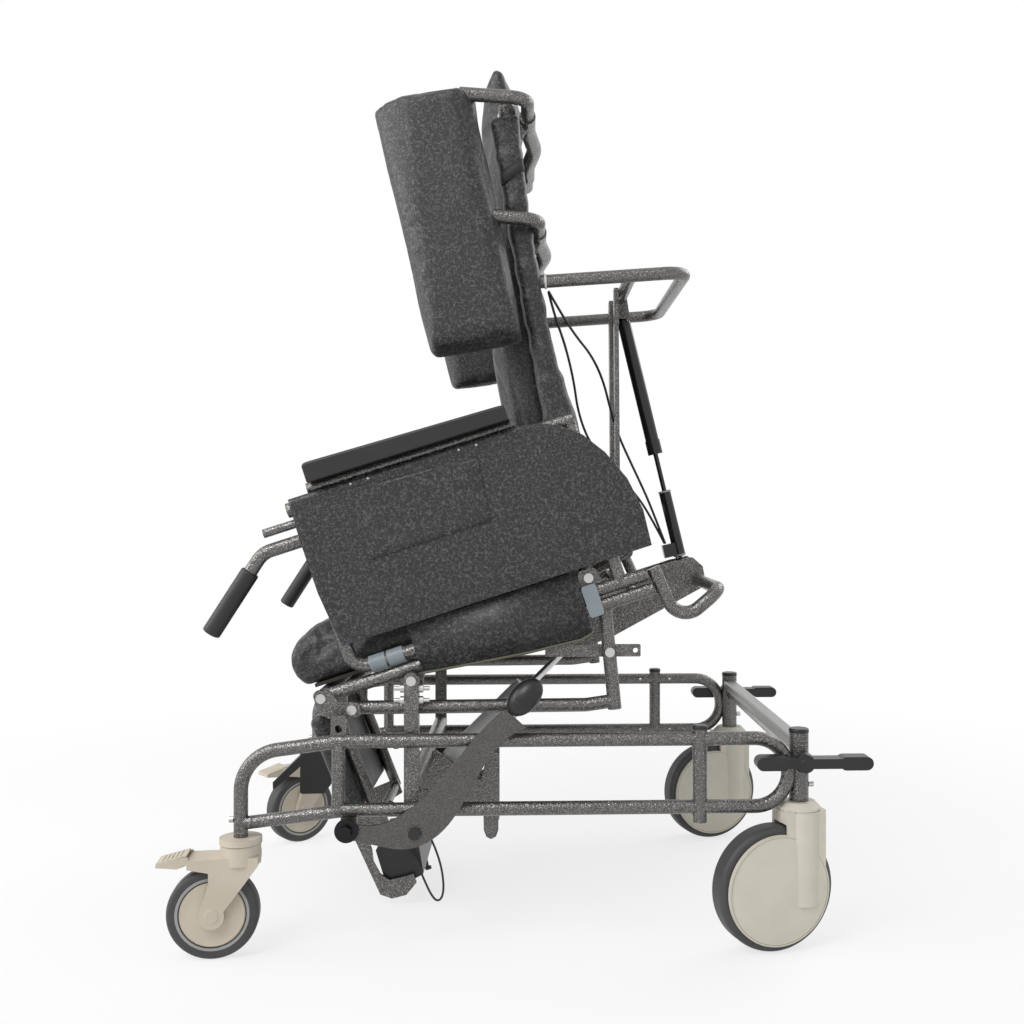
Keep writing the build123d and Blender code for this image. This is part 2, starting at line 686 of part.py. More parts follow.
with BuildPart() as lock_pedal:
    pedal_x = CASTER_POST_X + LOCK_PEDAL_OFFSET
    with BuildSketch(side_plane(-LOCK_PEDAL_Y)) as pedal_shape:
        with Locations((pedal_x, LOCK_Z)):
            SlotOverall(LOCK_PEDAL_L, 14)
        for end in (-1, 1):
            with Locations((pedal_x + end * (LOCK_PEDAL_L / 2 - 24), LOCK_Z)):
                SlotOverall(48, 19)
        with Locations((CASTER_POST_X, LOCK_Z)):
            Circle(LOCK_HUB_D / 2)
            RegularPolygon(LOCK_SHAFT_D / 2, 6, mode=Mode.SUBTRACT)
    extrude(amount=LOCK_PEDAL_W / 2, both=True)
keep(both_sides(lock_pedal.part), "lock_pedals")

# ==== side lever =============================================================================
with BuildPart() as side_lever_arm:
    lever_plane = side_plane(-LEVER_Y)
    with BuildSketch(lever_plane):
        with BuildLine():
            Spline(
                (LEVER_X, LEVER_Z + 13),
                (-186, 190),
                (-150, 210),
                (-95, 266),
                (-17, 348),
            )
            Line((-17, 348), (12, 322))
            Spline(
                (12, 322),
                (-80, 211),
                (-112, 172),
                (-150, 154),
                (-190, 157),
                (LEVER_X, LEVER_Z - 13),
            )
            Line((LEVER_X, LEVER_Z - 13), (LEVER_X, LEVER_Z + 13))
        make_face()
        with Locations((LEVER_X, LEVER_Z)):
            Circle(LEVER_HUB_D / 2 - 1)
            Circle(BOLT_D / 2 + RUNNING_FIT, mode=Mode.SUBTRACT)
        with Locations((LEVER_SCREW_X, LEVER_SCREW_Z)):
            Circle(5, mode=Mode.SUBTRACT)
    extrude(amount=LEVER_T / 2, both=True)
keep(side_lever_arm.part, "side_lever_arm")

with BuildPart() as side_lever_knob:
    knob_plane = leaning_plane(KNOB_X, KNOB_Z, 48.0, -LEVER_Y)
    with BuildSketch(knob_plane) as knob_half:
        with BuildLine():
            EllipticalCenterArc((0, 0), KNOB_HALF_L, KNOB_HALF_W, start_angle=0, arc_size=180)
            Line((-KNOB_HALF_L, 0), (KNOB_HALF_L, 0))
        make_face()
    knob_axis = Axis(on(knob_plane, 0, 0), knob_plane.x_dir)
    revolve(knob_half.sketch, axis=knob_axis)
keep(side_lever_knob.part, "side_lever_knob")

with BuildPart() as lever_bolt:
    lever_face = Vector(LEVER_X, -LEVER_Y - LEVER_T / 2 - BODY_GAP / 3, LEVER_Z)
    outward = Vector(0, -1, 0)
    rod((LEVER_X, -FRAME_Y - RAIL_D / 2, LEVER_Z), lever_face + outward, BOLT_D)
    rod(lever_face, lever_face + LEVER_HUB_T * outward, LEVER_HUB_D)
    rod(lever_face, lever_face + LEVER_HEAD_T * outward, BOLT_HEAD_D)
keep(lever_bolt.part, "side_lever_bolt")

with BuildPart() as side_lever_roller:
    screw_out = Vector(LEVER_SCREW_X, -LEVER_Y - LEVER_T / 2, LEVER_SCREW_Z)
    screw_in = Vector(LEVER_SCREW_X, -LEVER_Y + LEVER_T / 2, LEVER_SCREW_Z)
    rod(screw_in, screw_out, 10.0)
    rod(screw_out, screw_out + 5 * outward, 17.0)
    rod(screw_in, screw_in - 6 * outward, 20.0)
keep(side_lever_roller.part, "side_lever_roller")

# ==== seat frame =============================================================================
rail = seat_plane(-SEAT_RAIL_Y)
cradle = side_plane(-CRADLE_Y)
leg_hinge = on(rail, LEG_HINGE_U, LOWER_RAIL_W)
seat_middle = seat_plane(0)
recline_at = seat_middle.to_local_coords(Vector(RECLINE_X, 0, RECLINE_Z))

# Bolts of the seat: X, Z, the depth their shank starts at and the depth their head sits on.
LINK_FACE_Y = SEAT_RAIL_Y + RAIL_D / 2 + 0.5 + PLATE_T
LUG_FACE_Y = SEAT_RAIL_Y + PLATE_T / 2
POST_FACE_Y = PIVOT_POST_Y + PIVOT_POST_T / 2 + 0.3
SEAT_BOLTS = [
    (PIVOT_X, PIVOT_Z, LUG_FACE_Y - PLATE_T - 6, POST_FACE_Y),
    (leg_hinge.X, leg_hinge.Z, LEG_HINGE_HALF_Y - 18, LINK_FACE_Y),
    (CRADLE_FRONT_X, CRADLE_FRONT_Z, CRADLE_Y - RAIL_D / 2, LINK_FACE_Y),
    (RECLINE_X, RECLINE_Z, BACK_HINGE_Y - 20, LUG_FACE_Y),
    (STRUT_BOLT_X, FLAT_BAR_Z, CRADLE_Y - RAIL_D / 2 - PLATE_T, CRADLE_Y + RAIL_D / 2),
]


def bolt_holes():
    """Clear the shanks of the seat's bolts, which fit their holes exactly."""
    for bolt_x, bolt_z, start_y, head_y in SEAT_BOLTS:
        rod((bolt_x, -start_y, bolt_z), (bolt_x, -head_y, bolt_z), BOLT_D, Mode.SUBTRACT)


with BuildPart() as bolts_side:
    for bolt_x, bolt_z, start_y, head_y in SEAT_BOLTS:
        rod((bolt_x, -start_y, bolt_z), (bolt_x, -head_y, bolt_z), BOLT_D)
        rod((bolt_x, -head_y, bolt_z), (bolt_x, -head_y - BOLT_HEAD_H, bolt_z), BOLT_HEAD_D)
keep(both_sides(bolts_side.part), "seat_bolts")

with BuildPart() as seat_side:
    rod(leg_hinge, on(rail, RAIL_REAR_U, LOWER_RAIL_W), RAIL_D)
    bent(
        [
            on(rail, RAIL_REAR_U, UPPER_RAIL_W),
            on(rail, ARM_UPRIGHT_U, UPPER_RAIL_W),
            on(rail, ARM_UPRIGHT_U, RAIL_STUB_W),
        ],
        RAIL_D,
        [RAIL_ELBOW_R],
    )
    # webs that join the two rails
    for web_u in (ARM_UPRIGHT_U + 40, RAIL_REAR_U - 50):
        slab(
            rail,
            [
                (web_u - 12, LOWER_RAIL_W),
                (web_u + 12, LOWER_RAIL_W),
                (web_u + 12, UPPER_RAIL_W),
                (web_u - 12, UPPER_RAIL_W),
            ],
            PLATE_T,
        )
    # flat ends and lugs: leg rest hinge, tilt pivot and recline hinge
    slab(
        rail,
        [
            (LEG_HINGE_U - 13, LOWER_RAIL_W - 12),
            (LEG_HINGE_U + 16, LOWER_RAIL_W - 12),
            (LEG_HINGE_U + 16, LOWER_RAIL_W + 11),
            (LEG_HINGE_U - 13, LOWER_RAIL_W + 11),
        ],
        PLATE_T,
        8.0,
    )
    slab(rail, [(-24, LOWER_RAIL_W - 4), (24, LOWER_RAIL_W - 4), (11, -12), (-11, -12)], PLATE_T, 6.0)
    slab(
        rail,
        [
            (recline_at.X - 26, LOWER_RAIL_W),
            (recline_at.X + 26, LOWER_RAIL_W),
            (recline_at.X + 13, recline_at.Y + 13),
            (recline_at.X - 13, recline_at.Y + 13),
        ],
        PLATE_T,
        8.0,
    )
    bolt_holes()
with BuildPart() as seat_frame:
    add(seat_side.part)
    add(mirror(seat_side.part, about=Plane.XZ))
    for cross_u in CROSS_TUBE_US:
        end_near = on(seat_plane(-SEAT_RAIL_Y), cross_u, LOWER_RAIL_W)
        end_far = on(seat_plane(SEAT_RAIL_Y), cross_u, LOWER_RAIL_W)
        rod(end_near, end_far, WELDED_D)
keep(seat_frame.part, "seat_frame")

with BuildPart() as cradle_side:
    bent(
        [
            on(cradle, CRADLE_FRONT_X, CRADLE_FRONT_Z),
            on(cradle, CRADLE_BEND_X, CRADLE_FRONT_Z + 2),
            on(cradle, STRUT_BOTTOM_X, STRUT_BOTTOM_Z + 12),
        ],
        RAIL_D,
        [CRADLE_BEND_R],
    )
    # strut that carries the rear of the cradle from the rails
    rod(on(cradle, STRUT_TOP_X, STRUT_TOP_Z), on(cradle, STRUT_BOTTOM_X, STRUT_BOTTOM_Z), RAIL_D)
    bolt_holes()
    add(seat_side.part, mode=Mode.SUBTRACT)
keep(both_sides(cradle_side.part.solids().sort_by(SortBy.VOLUME)[-1]), "seat_cradle_tubes")

with BuildPart() as link_side:
    slab(
        side_plane(-LINK_FACE_Y + PLATE_T / 2),
        [
            (leg_hinge.X - 13, leg_hinge.Z + 8),
            (leg_hinge.X + 10, leg_hinge.Z + 12),
            (leg_hinge.X + 24, leg_hinge.Z - 4),
            (CRADLE_FRONT_X + 10, CRADLE_FRONT_Z + 10),
            (CRADLE_FRONT_X + 14, CRADLE_FRONT_Z - 9),
            (CRADLE_FRONT_X - 22, CRADLE_FRONT_Z - 16),
            (leg_hinge.X - 2, leg_hinge.Z - 24),
        ],
        PLATE_T,
        5.0,
    )
    bolt_holes()
with BuildPart() as flat_bar_side:
    with BuildSketch(side_plane(-CRADLE_Y + RAIL_D / 2 + PLATE_T / 2)) as bar:
        with Locations(((FLAT_BAR_FRONT_X + FLAT_BAR_REAR_X) / 2, FLAT_BAR_Z)):
            Rectangle(FLAT_BAR_REAR_X - FLAT_BAR_FRONT_X, FLAT_BAR_H)
        fillet(bar.vertices(), 2.0)
        with Locations((FLAT_BAR_HOLE_X, FLAT_BAR_Z)):
            Circle(FLAT_BAR_HOLE_D / 2, mode=Mode.SUBTRACT)
    extrude(amount=PLATE_T / 2, both=True)
    bolt_holes()
keep(both_sides(Compound(children=[link_side.part, flat_bar_side.part])), "seat_link_plates")

# ==== spine, bumper and seat board ===========================================================
with BuildPart() as rear_bumper:
    tail = on(seat_middle, RAIL_REAR_U + RAIL_D / 2, UPPER_RAIL_W + 6)
    bent(
        [
            (tail.X, -SEAT_RAIL_Y, tail.Z),
            (BUMPER_LOW_X, -SEAT_RAIL_Y, BUMPER_LOW_Z),
            (BUMPER_X, -SEAT_RAIL_Y, BUMPER_Z),
            (BUMPER_X, SEAT_RAIL_Y, BUMPER_Z),
            (BUMPER_LOW_X, SEAT_RAIL_Y, BUMPER_LOW_Z),
            (tail.X, SEAT_RAIL_Y, tail.Z),
        ],
        RAIL_D,
        [BUMPER_BEND_R] * 4,
    )
    add(seat_frame.part, mode=Mode.SUBTRACT)
keep(rear_bumper.part, "seat_rear_bumper")

with BuildPart() as seat_spine:
    for plate_y in (-SPINE_Y, SPINE_Y):
        slab(
            seat_plane(plate_y),
            [
                (136, 25),
                (438, 25),
                (470, 22),
                (482, 2),
                (478, -30),
                (306, -62),
                (240, -66),
                (180, -28),
                (136, 4),
            ],
            PLATE_T,
            5.0,
        )
    pin_half = SPINE_Y + PLATE_T / 2 + 2
    for pin_x, pin_z in ((TILT_TOP_X, TILT_TOP_Z), (RECLINE_LOW_X, RECLINE_LOW_Z)):
        rod((pin_x, -pin_half, pin_z), (pin_x, pin_half, pin_z), SPRING_PIN_D)
    add(seat_frame.part, mode=Mode.SUBTRACT)
    add(rear_bumper.part, mode=Mode.SUBTRACT)
keep(seat_spine.part, "seat_spine")

with BuildPart() as seat_board:
    with BuildSketch(seat_middle):
        with Locations(((CUSHION_FRONT_U + 30 + CUSHION_REAR_U) / 2, BOARD_W + BOARD_T / 2)):
            Rectangle(CUSHION_REAR_U - CUSHION_FRONT_U - 30, BOARD_T)
    extrude(amount=CUSHION_HALF_Y - 8, both=True)
keep(seat_board.part, "seat_board")


def cushion_section(half_y, inset, top_w):
    """Side outline of the seat cushion at one depth: round nose, crowned top and flat base."""
    front_u = CUSHION_FRONT_U + inset
    rear_u = CUSHION_REAR_U - inset
    with BuildSketch(seat_plane(-half_y)) as outline:
        with BuildLine():
            nose = Line((front_u + 18, CUSHION_BOTTOM_W), (front_u, CUSHION_BOTTOM_W + 32))
            brow = ThreePointArc(nose @ 1, (front_u + 10, top_w - 20), (front_u + 42, top_w - 10))
            crown = ThreePointArc(brow @ 1, (60, top_w), (rear_u - 14, top_w - 8))
            back = ThreePointArc(crown @ 1, (rear_u - 3, top_w - 13), (rear_u, top_w - 24))
            heel = Line(back @ 1, (rear_u, CUSHION_BOTTOM_W))
            Line(heel @ 1, nose @ 0)
        make_face()
    return outline.sketch


with BuildPart() as cushion_half:
    round_y = CUSHION_HALF_Y - CUSHION_SIDE_ROUND
    middle = cushion_section(0, 0, CUSHION_TOP_W + CUSHION_CROWN)
    shoulder = cushion_section(round_y, 0, CUSHION_TOP_W)
    edge = cushion_section(CUSHION_HALF_Y, 7, CUSHION_TOP_W - 12)
    loft([edge, shoulder], ruled=True)
    loft([shoulder, middle], ruled=True)
with BuildPart() as seat_cushion:
    add(cushion_half.part)
    add(mirror(cushion_half.part, about=Plane.XZ))
    # rear corners cut away round the foot of each back post
    for side in (-1, 1):
        slab(
            seat_plane(side * (NOTCH_IN_Y + CUSHION_HALF_Y) / 2),
            [(NOTCH_U, 20), (CUSHION_REAR_U + 9, 20), (CUSHION_REAR_U + 9, 140), (NOTCH_U, 140)],
            CUSHION_HALF_Y - NOTCH_IN_Y,
            mode=Mode.SUBTRACT,
        )
keep(seat_cushion.part, "seat_cushion")

# ==== plastic clips and sleeves on the double rails ==========================================
with BuildPart() as rail_clip:
    slab(
        seat_plane(-SEAT_RAIL_Y - 2),
        [
            (CLIP_U - CLIP_W / 2, LOWER_RAIL_W - 12),
            (CLIP_U + CLIP_W / 2, LOWER_RAIL_W - 12),
            (CLIP_U + CLIP_W / 2, UPPER_RAIL_W + 12),
            (CLIP_U - CLIP_W / 2, UPPER_RAIL_W + 12),
        ],
        RAIL_D + 5,
        4.0,
    )
    add(seat_frame.part, mode=Mode.SUBTRACT)
    add(cradle_side.part, mode=Mode.SUBTRACT)
with BuildPart() as rail_sleeves:
    for sleeve_u in SLEEVE_US:
        rod(
            on(rail, sleeve_u - SLEEVE_L / 2, UPPER_RAIL_W),
            on(rail, sleeve_u + SLEEVE_L / 2, UPPER_RAIL_W),
            RAIL_D + 2 * SLEEVE_WALL,
        )
    add(seat_frame.part, mode=Mode.SUBTRACT)
clip_pieces = [*rail_clip.part.solids(), *rail_sleeves.part.solids()]
keep(both_sides(Compound(children=clip_pieces)), "seat_rail_clips")

# ==== arm frames, arm rests and skirts =======================================================
with BuildPart() as arm_side:
    rod(on(rail, ARM_UPRIGHT_U, RAIL_STUB_W), on(rail, ARM_UPRIGHT_U, ARM_TOP_W), RAIL_D)
    rod(on(rail, ARM_FRONT_U, ARM_TOP_W), on(rail, ARM_REAR_U + 8, ARM_TOP_W), ARM_TOP_D)
    rod(on(rail, ARM_REAR_U, UPPER_RAIL_W), on(rail, ARM_REAR_U, ARM_TOP_W), RAIL_D)
    socket_front = on(rail, ARM_UPRIGHT_U - 14, HANDLE_W)
    socket_rear = on(rail, ARM_UPRIGHT_U + 46, HANDLE_W)
    rod(socket_front, socket_rear, HANDLE_SOCKET_D)
    bore_front = on(rail, ARM_UPRIGHT_U - 20, HANDLE_W)
    bore_rear = on(rail, ARM_UPRIGHT_U + 36, HANDLE_W)
    rod(bore_front, bore_rear, HANDLE_D + 2 * RUNNING_FIT, Mode.SUBTRACT)
    # locking plunger above the handle socket
    rod(on(rail, ARM_UPRIGHT_U - 62, PLUNGER_W), on(rail, ARM_UPRIGHT_U - 5, PLUNGER_W), PLUNGER_D)
    add(seat_side.part, mode=Mode.SUBTRACT)
keep(both_sides(arm_side.part.solids().sort_by(SortBy.VOLUME)[-1]), "arm_frames")

with BuildPart() as arm_tube_side:
    tube_w = ARM_TOP_W + (ARM_TOP_D + ARM_TUBE_D) / 2 + 0.5
    tube_plane = seat_plane(-PAD_Y + 6)
    tube_front = on(tube_plane, ARM_TUBE_FRONT_U, tube_w)
    tube_rear = on(tube_plane, ARM_TUBE_REAR_U, tube_w - 2)
    rod(tube_front, tube_rear, ARM_TUBE_D)
    for post_u in (0.0, 190.0):
        rod(on(tube_plane, post_u, tube_w - 6), on(rail, post_u, ARM_TOP_W), 10.0)
    rod(on(rail, ARM_FRONT_U, ARM_TOP_W), on(rail, ARM_REAR_U, ARM_TOP_W), ARM_TOP_D, Mode.SUBTRACT)
keep(both_sides(arm_tube_side.part.solids().sort_by(SortBy.VOLUME)[-1]), "arm_tubes")

with BuildPart() as arm_pad_side:
    with BuildSketch(seat_plane(-PAD_Y)):
        with BuildLine():
            Polyline(
                (PAD_FRONT_U, PAD_FRONT_W - PAD_T),
                (PAD_FRONT_U + PAD_L, PAD_REAR_W - PAD_T),
                (PAD_FRONT_U + PAD_L + 3, PAD_REAR_W - 6),
                (PAD_FRONT_U + PAD_L - 4, PAD_REAR_W),
                (PAD_FRONT_U + 6, PAD_FRONT_W),
                (PAD_FRONT_U - 2, PAD_FRONT_W - 5),
                close=True,
            )
        make_face()
    extrude(amount=PAD_W / 2, both=True)
    fillet(arm_pad_side.edges().filter_by(GeomType.LINE).group_by(SortBy.LENGTH)[-1], 4.0)
    rod(tube_front, tube_rear, ARM_TUBE_D, Mode.SUBTRACT)
keep(both_sides(arm_pad_side.part), "arm_pads")

with BuildPart() as skirt_side:
    with BuildSketch(seat_plane(-SKIRT_Y)):
        with BuildLine():
            Line((-76, 74), (-87, 304))
            Line((-87, 304), (258, 303))
            ThreePointArc((258, 303), (345, 262), (388, 180))
            ThreePointArc((388, 180), (397, 130), (389, 73))
            Line((389, 73), (-76, 74))
        make_face()
    extrude(amount=SKIRT_T / 2, both=True)
keep(both_sides(skirt_side.part), "seat_skirts")

# ==== front handles ==========================================================================
handle_inner = on(rail, ARM_UPRIGHT_U + 30, HANDLE_W)
handle_elbow = on(rail, ARM_UPRIGHT_U - 72, HANDLE_W)
handle_end = Vector(HANDLE_END_X, -SEAT_RAIL_Y, HANDLE_END_Z)
handle_down = (handle_end - handle_elbow).normalized()
core_end = handle_end + (GRIP_L - 10) * handle_down
with BuildPart() as front_handle:
    bent([handle_inner, handle_elbow, handle_end], HANDLE_D, [HANDLE_BEND_R])
    rod(handle_end - handle_down, core_end, GRIP_CORE_D)
with BuildPart() as front_grip:
    rod(handle_end, handle_end + GRIP_L * handle_down, GRIP_D)
    fillet(front_grip.edges().filter_by(GeomType.CIRCLE), 3.0)
    rod(handle_end - handle_down, core_end, GRIP_CORE_D, Mode.SUBTRACT)
for piece, piece_name in ((front_handle.part, "front_handle"), (front_grip.part, "front_grip")):
    keep(mirror(piece, about=Plane.XZ), f"{piece_name}_far")
    keep(piece, f"{piece_name}_near")

# ==== back frame =============================================================================
with BuildPart() as post_side:
    post = back_plane(-POST_Y)
    bent(
        [
            on(post, 0, 20),
            on(post, POST_BOW, 300),
            on(post, POST_BOW, POST_TOP_H - POST_BOW_DROP),
            on(post, 0, POST_TOP_H),
        ],
        POST_D,
        [POST_BOW_R, POST_BOW_R],
    )
    # arm from the recline hinge to the foot of the post and back to the lower crossbar
    rod((RECLINE_X, -BACK_HINGE_Y, RECLINE_Z), (RECLINE_X, -POST_Y + POST_D / 2, RECLINE_Z), BACK_HINGE_D)
    rod((RECLINE_X, -POST_Y, RECLINE_Z), on(post, 0, 40), BACK_HINGE_D + 3)
    rod((RECLINE_X, -POST_Y, RECLINE_Z), (LOWER_CROSS_X, -POST_Y, LOWER_CROSS_Z), BACK_HINGE_D - 2)
    rod(
        (RECLINE_X, -BACK_HINGE_Y, RECLINE_Z),
        (RECLINE_X, -BACK_HINGE_Y + 24, RECLINE_Z),
        BOLT_D + 2 * RUNNING_FIT,
        Mode.SUBTRACT,
    )
with BuildPart() as back_frame:
    add(post_side.part)
    add(mirror(post_side.part, about=Plane.XZ))
    rod((LOWER_CROSS_X, -POST_Y, LOWER_CROSS_Z), (LOWER_CROSS_X, POST_Y, LOWER_CROSS_Z), RAIL_D)
    for cross_h in BACK_CROSS_HS:
        cross_near = on(back_plane(-POST_Y), POST_BOW / 2, cross_h)
        cross_far = on(back_plane(POST_Y), POST_BOW / 2, cross_h)
        rod(cross_near, cross_far, WELDED_D)
    bent(
        [
            (PUSH_BAR_FRONT_X, -PUSH_BAR_Y, PUSH_BAR_FRONT_Z),
            (PUSH_BAR_REAR_X, -PUSH_BAR_Y, PUSH_BAR_REAR_Z),
            (PUSH_BAR_REAR_X, PUSH_BAR_Y, PUSH_BAR_REAR_Z),
            (PUSH_BAR_FRONT_X, PUSH_BAR_Y, PUSH_BAR_FRONT_Z),
        ],
        RAIL_D,
        [PUSH_BAR_BEND_R] * 2,
    )
    push_slope = (PUSH_BAR_REAR_Z - PUSH_BAR_FRONT_Z) / (PUSH_BAR_REAR_X - PUSH_BAR_FRONT_X)
    push_cross_z = PUSH_BAR_FRONT_Z + push_slope * (PUSH_CROSS_X - PUSH_BAR_FRONT_X)
    rod((PUSH_CROSS_X, -PUSH_BAR_Y, push_cross_z), (PUSH_CROSS_X, PUSH_BAR_Y, push_cross_z), WELDED_D)
    # clevis lugs that hold the top of the recline spring
    for lug_y in (-SPRING_LUG_Y, SPRING_LUG_Y):
        slab(
            side_plane(lug_y),
            [
                (PUSH_CROSS_X - 9, push_cross_z),
                (PUSH_CROSS_X + 9, push_cross_z),
                (RECLINE_TOP_X + 12, RECLINE_TOP_Z - 9),
                (RECLINE_TOP_X - 12, RECLINE_TOP_Z - 9),
            ],
            PLATE_T,
            3.0,
        )
    pin_half = SPRING_LUG_Y + PLATE_T / 2 + 3
    rod((RECLINE_TOP_X, -pin_half, RECLINE_TOP_Z), (RECLINE_TOP_X, pin_half, RECLINE_TOP_Z), SPRING_PIN_D)
keep(back_frame.part, "back_frame")

with BuildPart() as braces:
    for brace_y in (-BRACE_Y, BRACE_Y):
        top = Vector(PUSH_CROSS_X - (WELDED_D + BRACE_T) / 2 + 0.5, brace_y, push_cross_z + 6)
        foot = Vector(LOWER_CROSS_X - 1, brace_y, LOWER_CROSS_Z)
        run = foot - top
        with BuildSketch(Plane(origin=top, x_dir=(0, 1, 0), z_dir=run)) as brace_section:
            Rectangle(BRACE_W, BRACE_T)
        extrude(brace_section.sketch, amount=run.length)
    add(back_frame.part, mode=Mode.SUBTRACT)
keep(braces.part, "back_braces")

# ==== back cushion and post covers ===========================================================
with BuildPart() as post_cover:
    with BuildSketch(back_plane(-(BACK_SLEEVE_IN_Y + BACK_SLEEVE_OUT_Y) / 2)):
        with BuildLine():
            Polyline(
                (-24, 60),
                (30, 60),
                (29, 226),
                (10, 340),
                (6, 433),
                (7, 576),
                (17, 702),
                (-30, 702),
                (-26, 400),
                close=True,
            )
        make_face()
    extrude(amount=(BACK_SLEEVE_OUT_Y - BACK_SLEEVE_IN_Y) / 2, both=True)
    fillet(post_cover.edges().filter_by(Axis.Y), 5.0)
    add(back_frame.part, mode=Mode.SUBTRACT)
cover_solid = post_cover.part.solids().sort_by(SortBy.VOLUME)[-1]
keep(both_sides(cover_solid), "back_post_covers")


def back_section(half_y, inset, depth):
    """Side outline of the back cushion at one depth, fullest low down and slim at the head."""
    with BuildSketch(back_plane(-half_y)) as outline:
        with BuildLine():
            Polyline(
                (-17, 62 + inset),
                (-58 - depth, 64 + inset),
                (-72 - depth, 110),
                (-72 - depth, 360),
                (-46 - depth, 560),
                (-31 - depth, 720),
                (-16 - depth / 2, 768 - inset),
                (3, 798 - inset),
                (17, 789 - inset),
                (21, 722),
                (-17, 704),
                close=True,
            )
        make_face()
    return outline.sketch


with BuildPart() as back_half:
    full = back_section(0, 0, 6)
    waist = back_section(BACK_CUSHION_HALF_Y - 24, 0, 2)
    side_edge = back_section(BACK_CUSHION_HALF_Y, 10, -12)
    loft([side_edge, waist], ruled=True)
    loft([waist, full], ruled=True)
with BuildPart() as back_cushion:
    add(back_half.part)
    add(mirror(back_half.part, about=Plane.XZ))
keep(back_cushion.part, "back_cushion")

# ==== side wings and the tubes that carry them ===============================================
HOOPS = ((HOOP_UPPER_X, HOOP_UPPER_Z), (HOOP_LOWER_X, HOOP_LOWER_Z))
with BuildPart() as hoop_sleeves:
    for hoop_x, hoop_z in HOOPS:
        bent(
            [
                (hoop_x, -HOOP_SLEEVE_END_Y, hoop_z),
                (hoop_x, -HOOP_ARM_END_Y + 12, hoop_z),
                (hoop_x + HOOP_BOW, 0, hoop_z),
                (hoop_x, HOOP_ARM_END_Y - 12, hoop_z),
                (hoop_x, HOOP_SLEEVE_END_Y, hoop_z),
            ],
            HOOP_SLEEVE_D,
            [200.0, 200.0, 200.0],
        )
    # brackets that hold the two tubes to the crossbars of the back
    upper_bar = on(back_plane(0), POST_BOW / 2, BACK_CROSS_HS[2])
    lower_bar = on(back_plane(0), POST_BOW / 2, BACK_CROSS_HS[1])
    for hoop, bar_at in ((HOOPS[0], upper_bar), (HOOPS[1], lower_bar)):
        for bracket_y in (-150.0, 150.0):
            slab(
                side_plane(bracket_y),
                [
                    (hoop[0] - 6, hoop[1] + 8),
                    (hoop[0] + 10, hoop[1] + 2),
                    (bar_at.X + 8, bar_at.Z - 4),
                    (bar_at.X - 2, bar_at.Z - 2),
                ],
                PLATE_T,
            )
    for hoop_x, hoop_z in HOOPS:
        for side in (-1, 1):
            rod(
                (hoop_x, side * (HOOP_SLEEVE_END_Y + 1), hoop_z),
                (hoop_x, side * HOOP_ARM_END_Y, hoop_z),
                HOOP_ARM_D + 2 * RUNNING_FIT,
                Mode.SUBTRACT,
            )
    add(back_frame.part, mode=Mode.SUBTRACT)
    add(back_cushion.part, mode=Mode.SUBTRACT)
keep(hoop_sleeves.part, "hoop_tubes")

with BuildPart() as wing_arms:
    for start, hoop in (((-86, 1241.5), HOOPS[0]), ((-42, 1062.8), HOOPS[1])):
        bent(
            [
                (start[0], -HOOP_ARM_Y, start[1]),
                (hoop[0], -HOOP_ARM_Y, hoop[1]),
                (hoop[0], -HOOP_ARM_END_Y - 1, hoop[1]),
            ],
            HOOP_ARM_D,
            [HOOP_BEND_R],
        )


# Flat bevels of the wing pad's outer side, each through three points given as the distance
# behind the back, the height up it and the depth across the chair.
WING_BEVELS = (
    ((-154, 740, WING_OUT_Y), (-168, 352, WING_OUT_Y), (-202, 740, WING_BEVEL_Y)),
    ((-64, 740, WING_OUT_Y), (-39, 740, WING_BEVEL_Y), (-30, 352, WING_OUT_Y)),
    ((-170, 372, WING_OUT_Y), (-30, 373, WING_OUT_Y), (-100, 352, WING_BEVEL_Y)),
)
with BuildPart() as wing_pad:
    with BuildSketch(back_plane(-(WING_OUT_Y + WING_IN_Y) / 2)):
        with BuildLine():
            Polyline((-202, 740), (-39, 740), (-31, 356), (-175, 352), close=True)
        make_face()
    extrude(amount=(WING_OUT_Y - WING_IN_Y) / 2, both=True)
    chamfer(wing_pad.faces().sort_by(Axis.Y)[-1].edges(), WING_INNER_CHAMFER)
    for corners in WING_BEVELS:
        first, second, third = (on(back_plane(-depth), r, h) for r, h, depth in corners)
        inward = (second - first).cross(third - first)
        split(bisect_by=Plane(origin=first, z_dir=inward), keep=Keep.TOP)
    add(wing_arms.part, mode=Mode.SUBTRACT)
for piece, piece_name in ((wing_arms.part, "wing_arms"), (wing_pad.part, "wing_pad")):
    keep(mirror(piece, about=Plane.XZ), f"{piece_name}_far")
    keep(piece, f"{piece_name}_near")

# ==== tilt spring ============================================================================
tilt_low = Vector(TILT_LOW_X, 0, TILT_LOW_Z)
tilt_top = Vector(TILT_TOP_X, 0, TILT_TOP_Z)
tilt_axis = (tilt_top - tilt_low).normalized()


def eye(centre, outer_d, bore_d):
    """Round eye across the chair at the end of a spring."""
    with BuildSketch(Plane(origin=centre - Vector(0, SPRING_EYE_HALF_W, 0), z_dir=(0, 1, 0))) as ring:
        Circle(outer_d / 2)
    extrude(ring.sketch, amount=2 * SPRING_EYE_HALF_W)
    with BuildSketch(Plane(origin=centre - Vector(0, SPRING_EYE_HALF_W, 0), z_dir=(0, 1, 0))) as hole:
        Circle(bore_d / 2)
    extrude(hole.sketch, amount=2 * SPRING_EYE_HALF_W, mode=Mode.SUBTRACT)


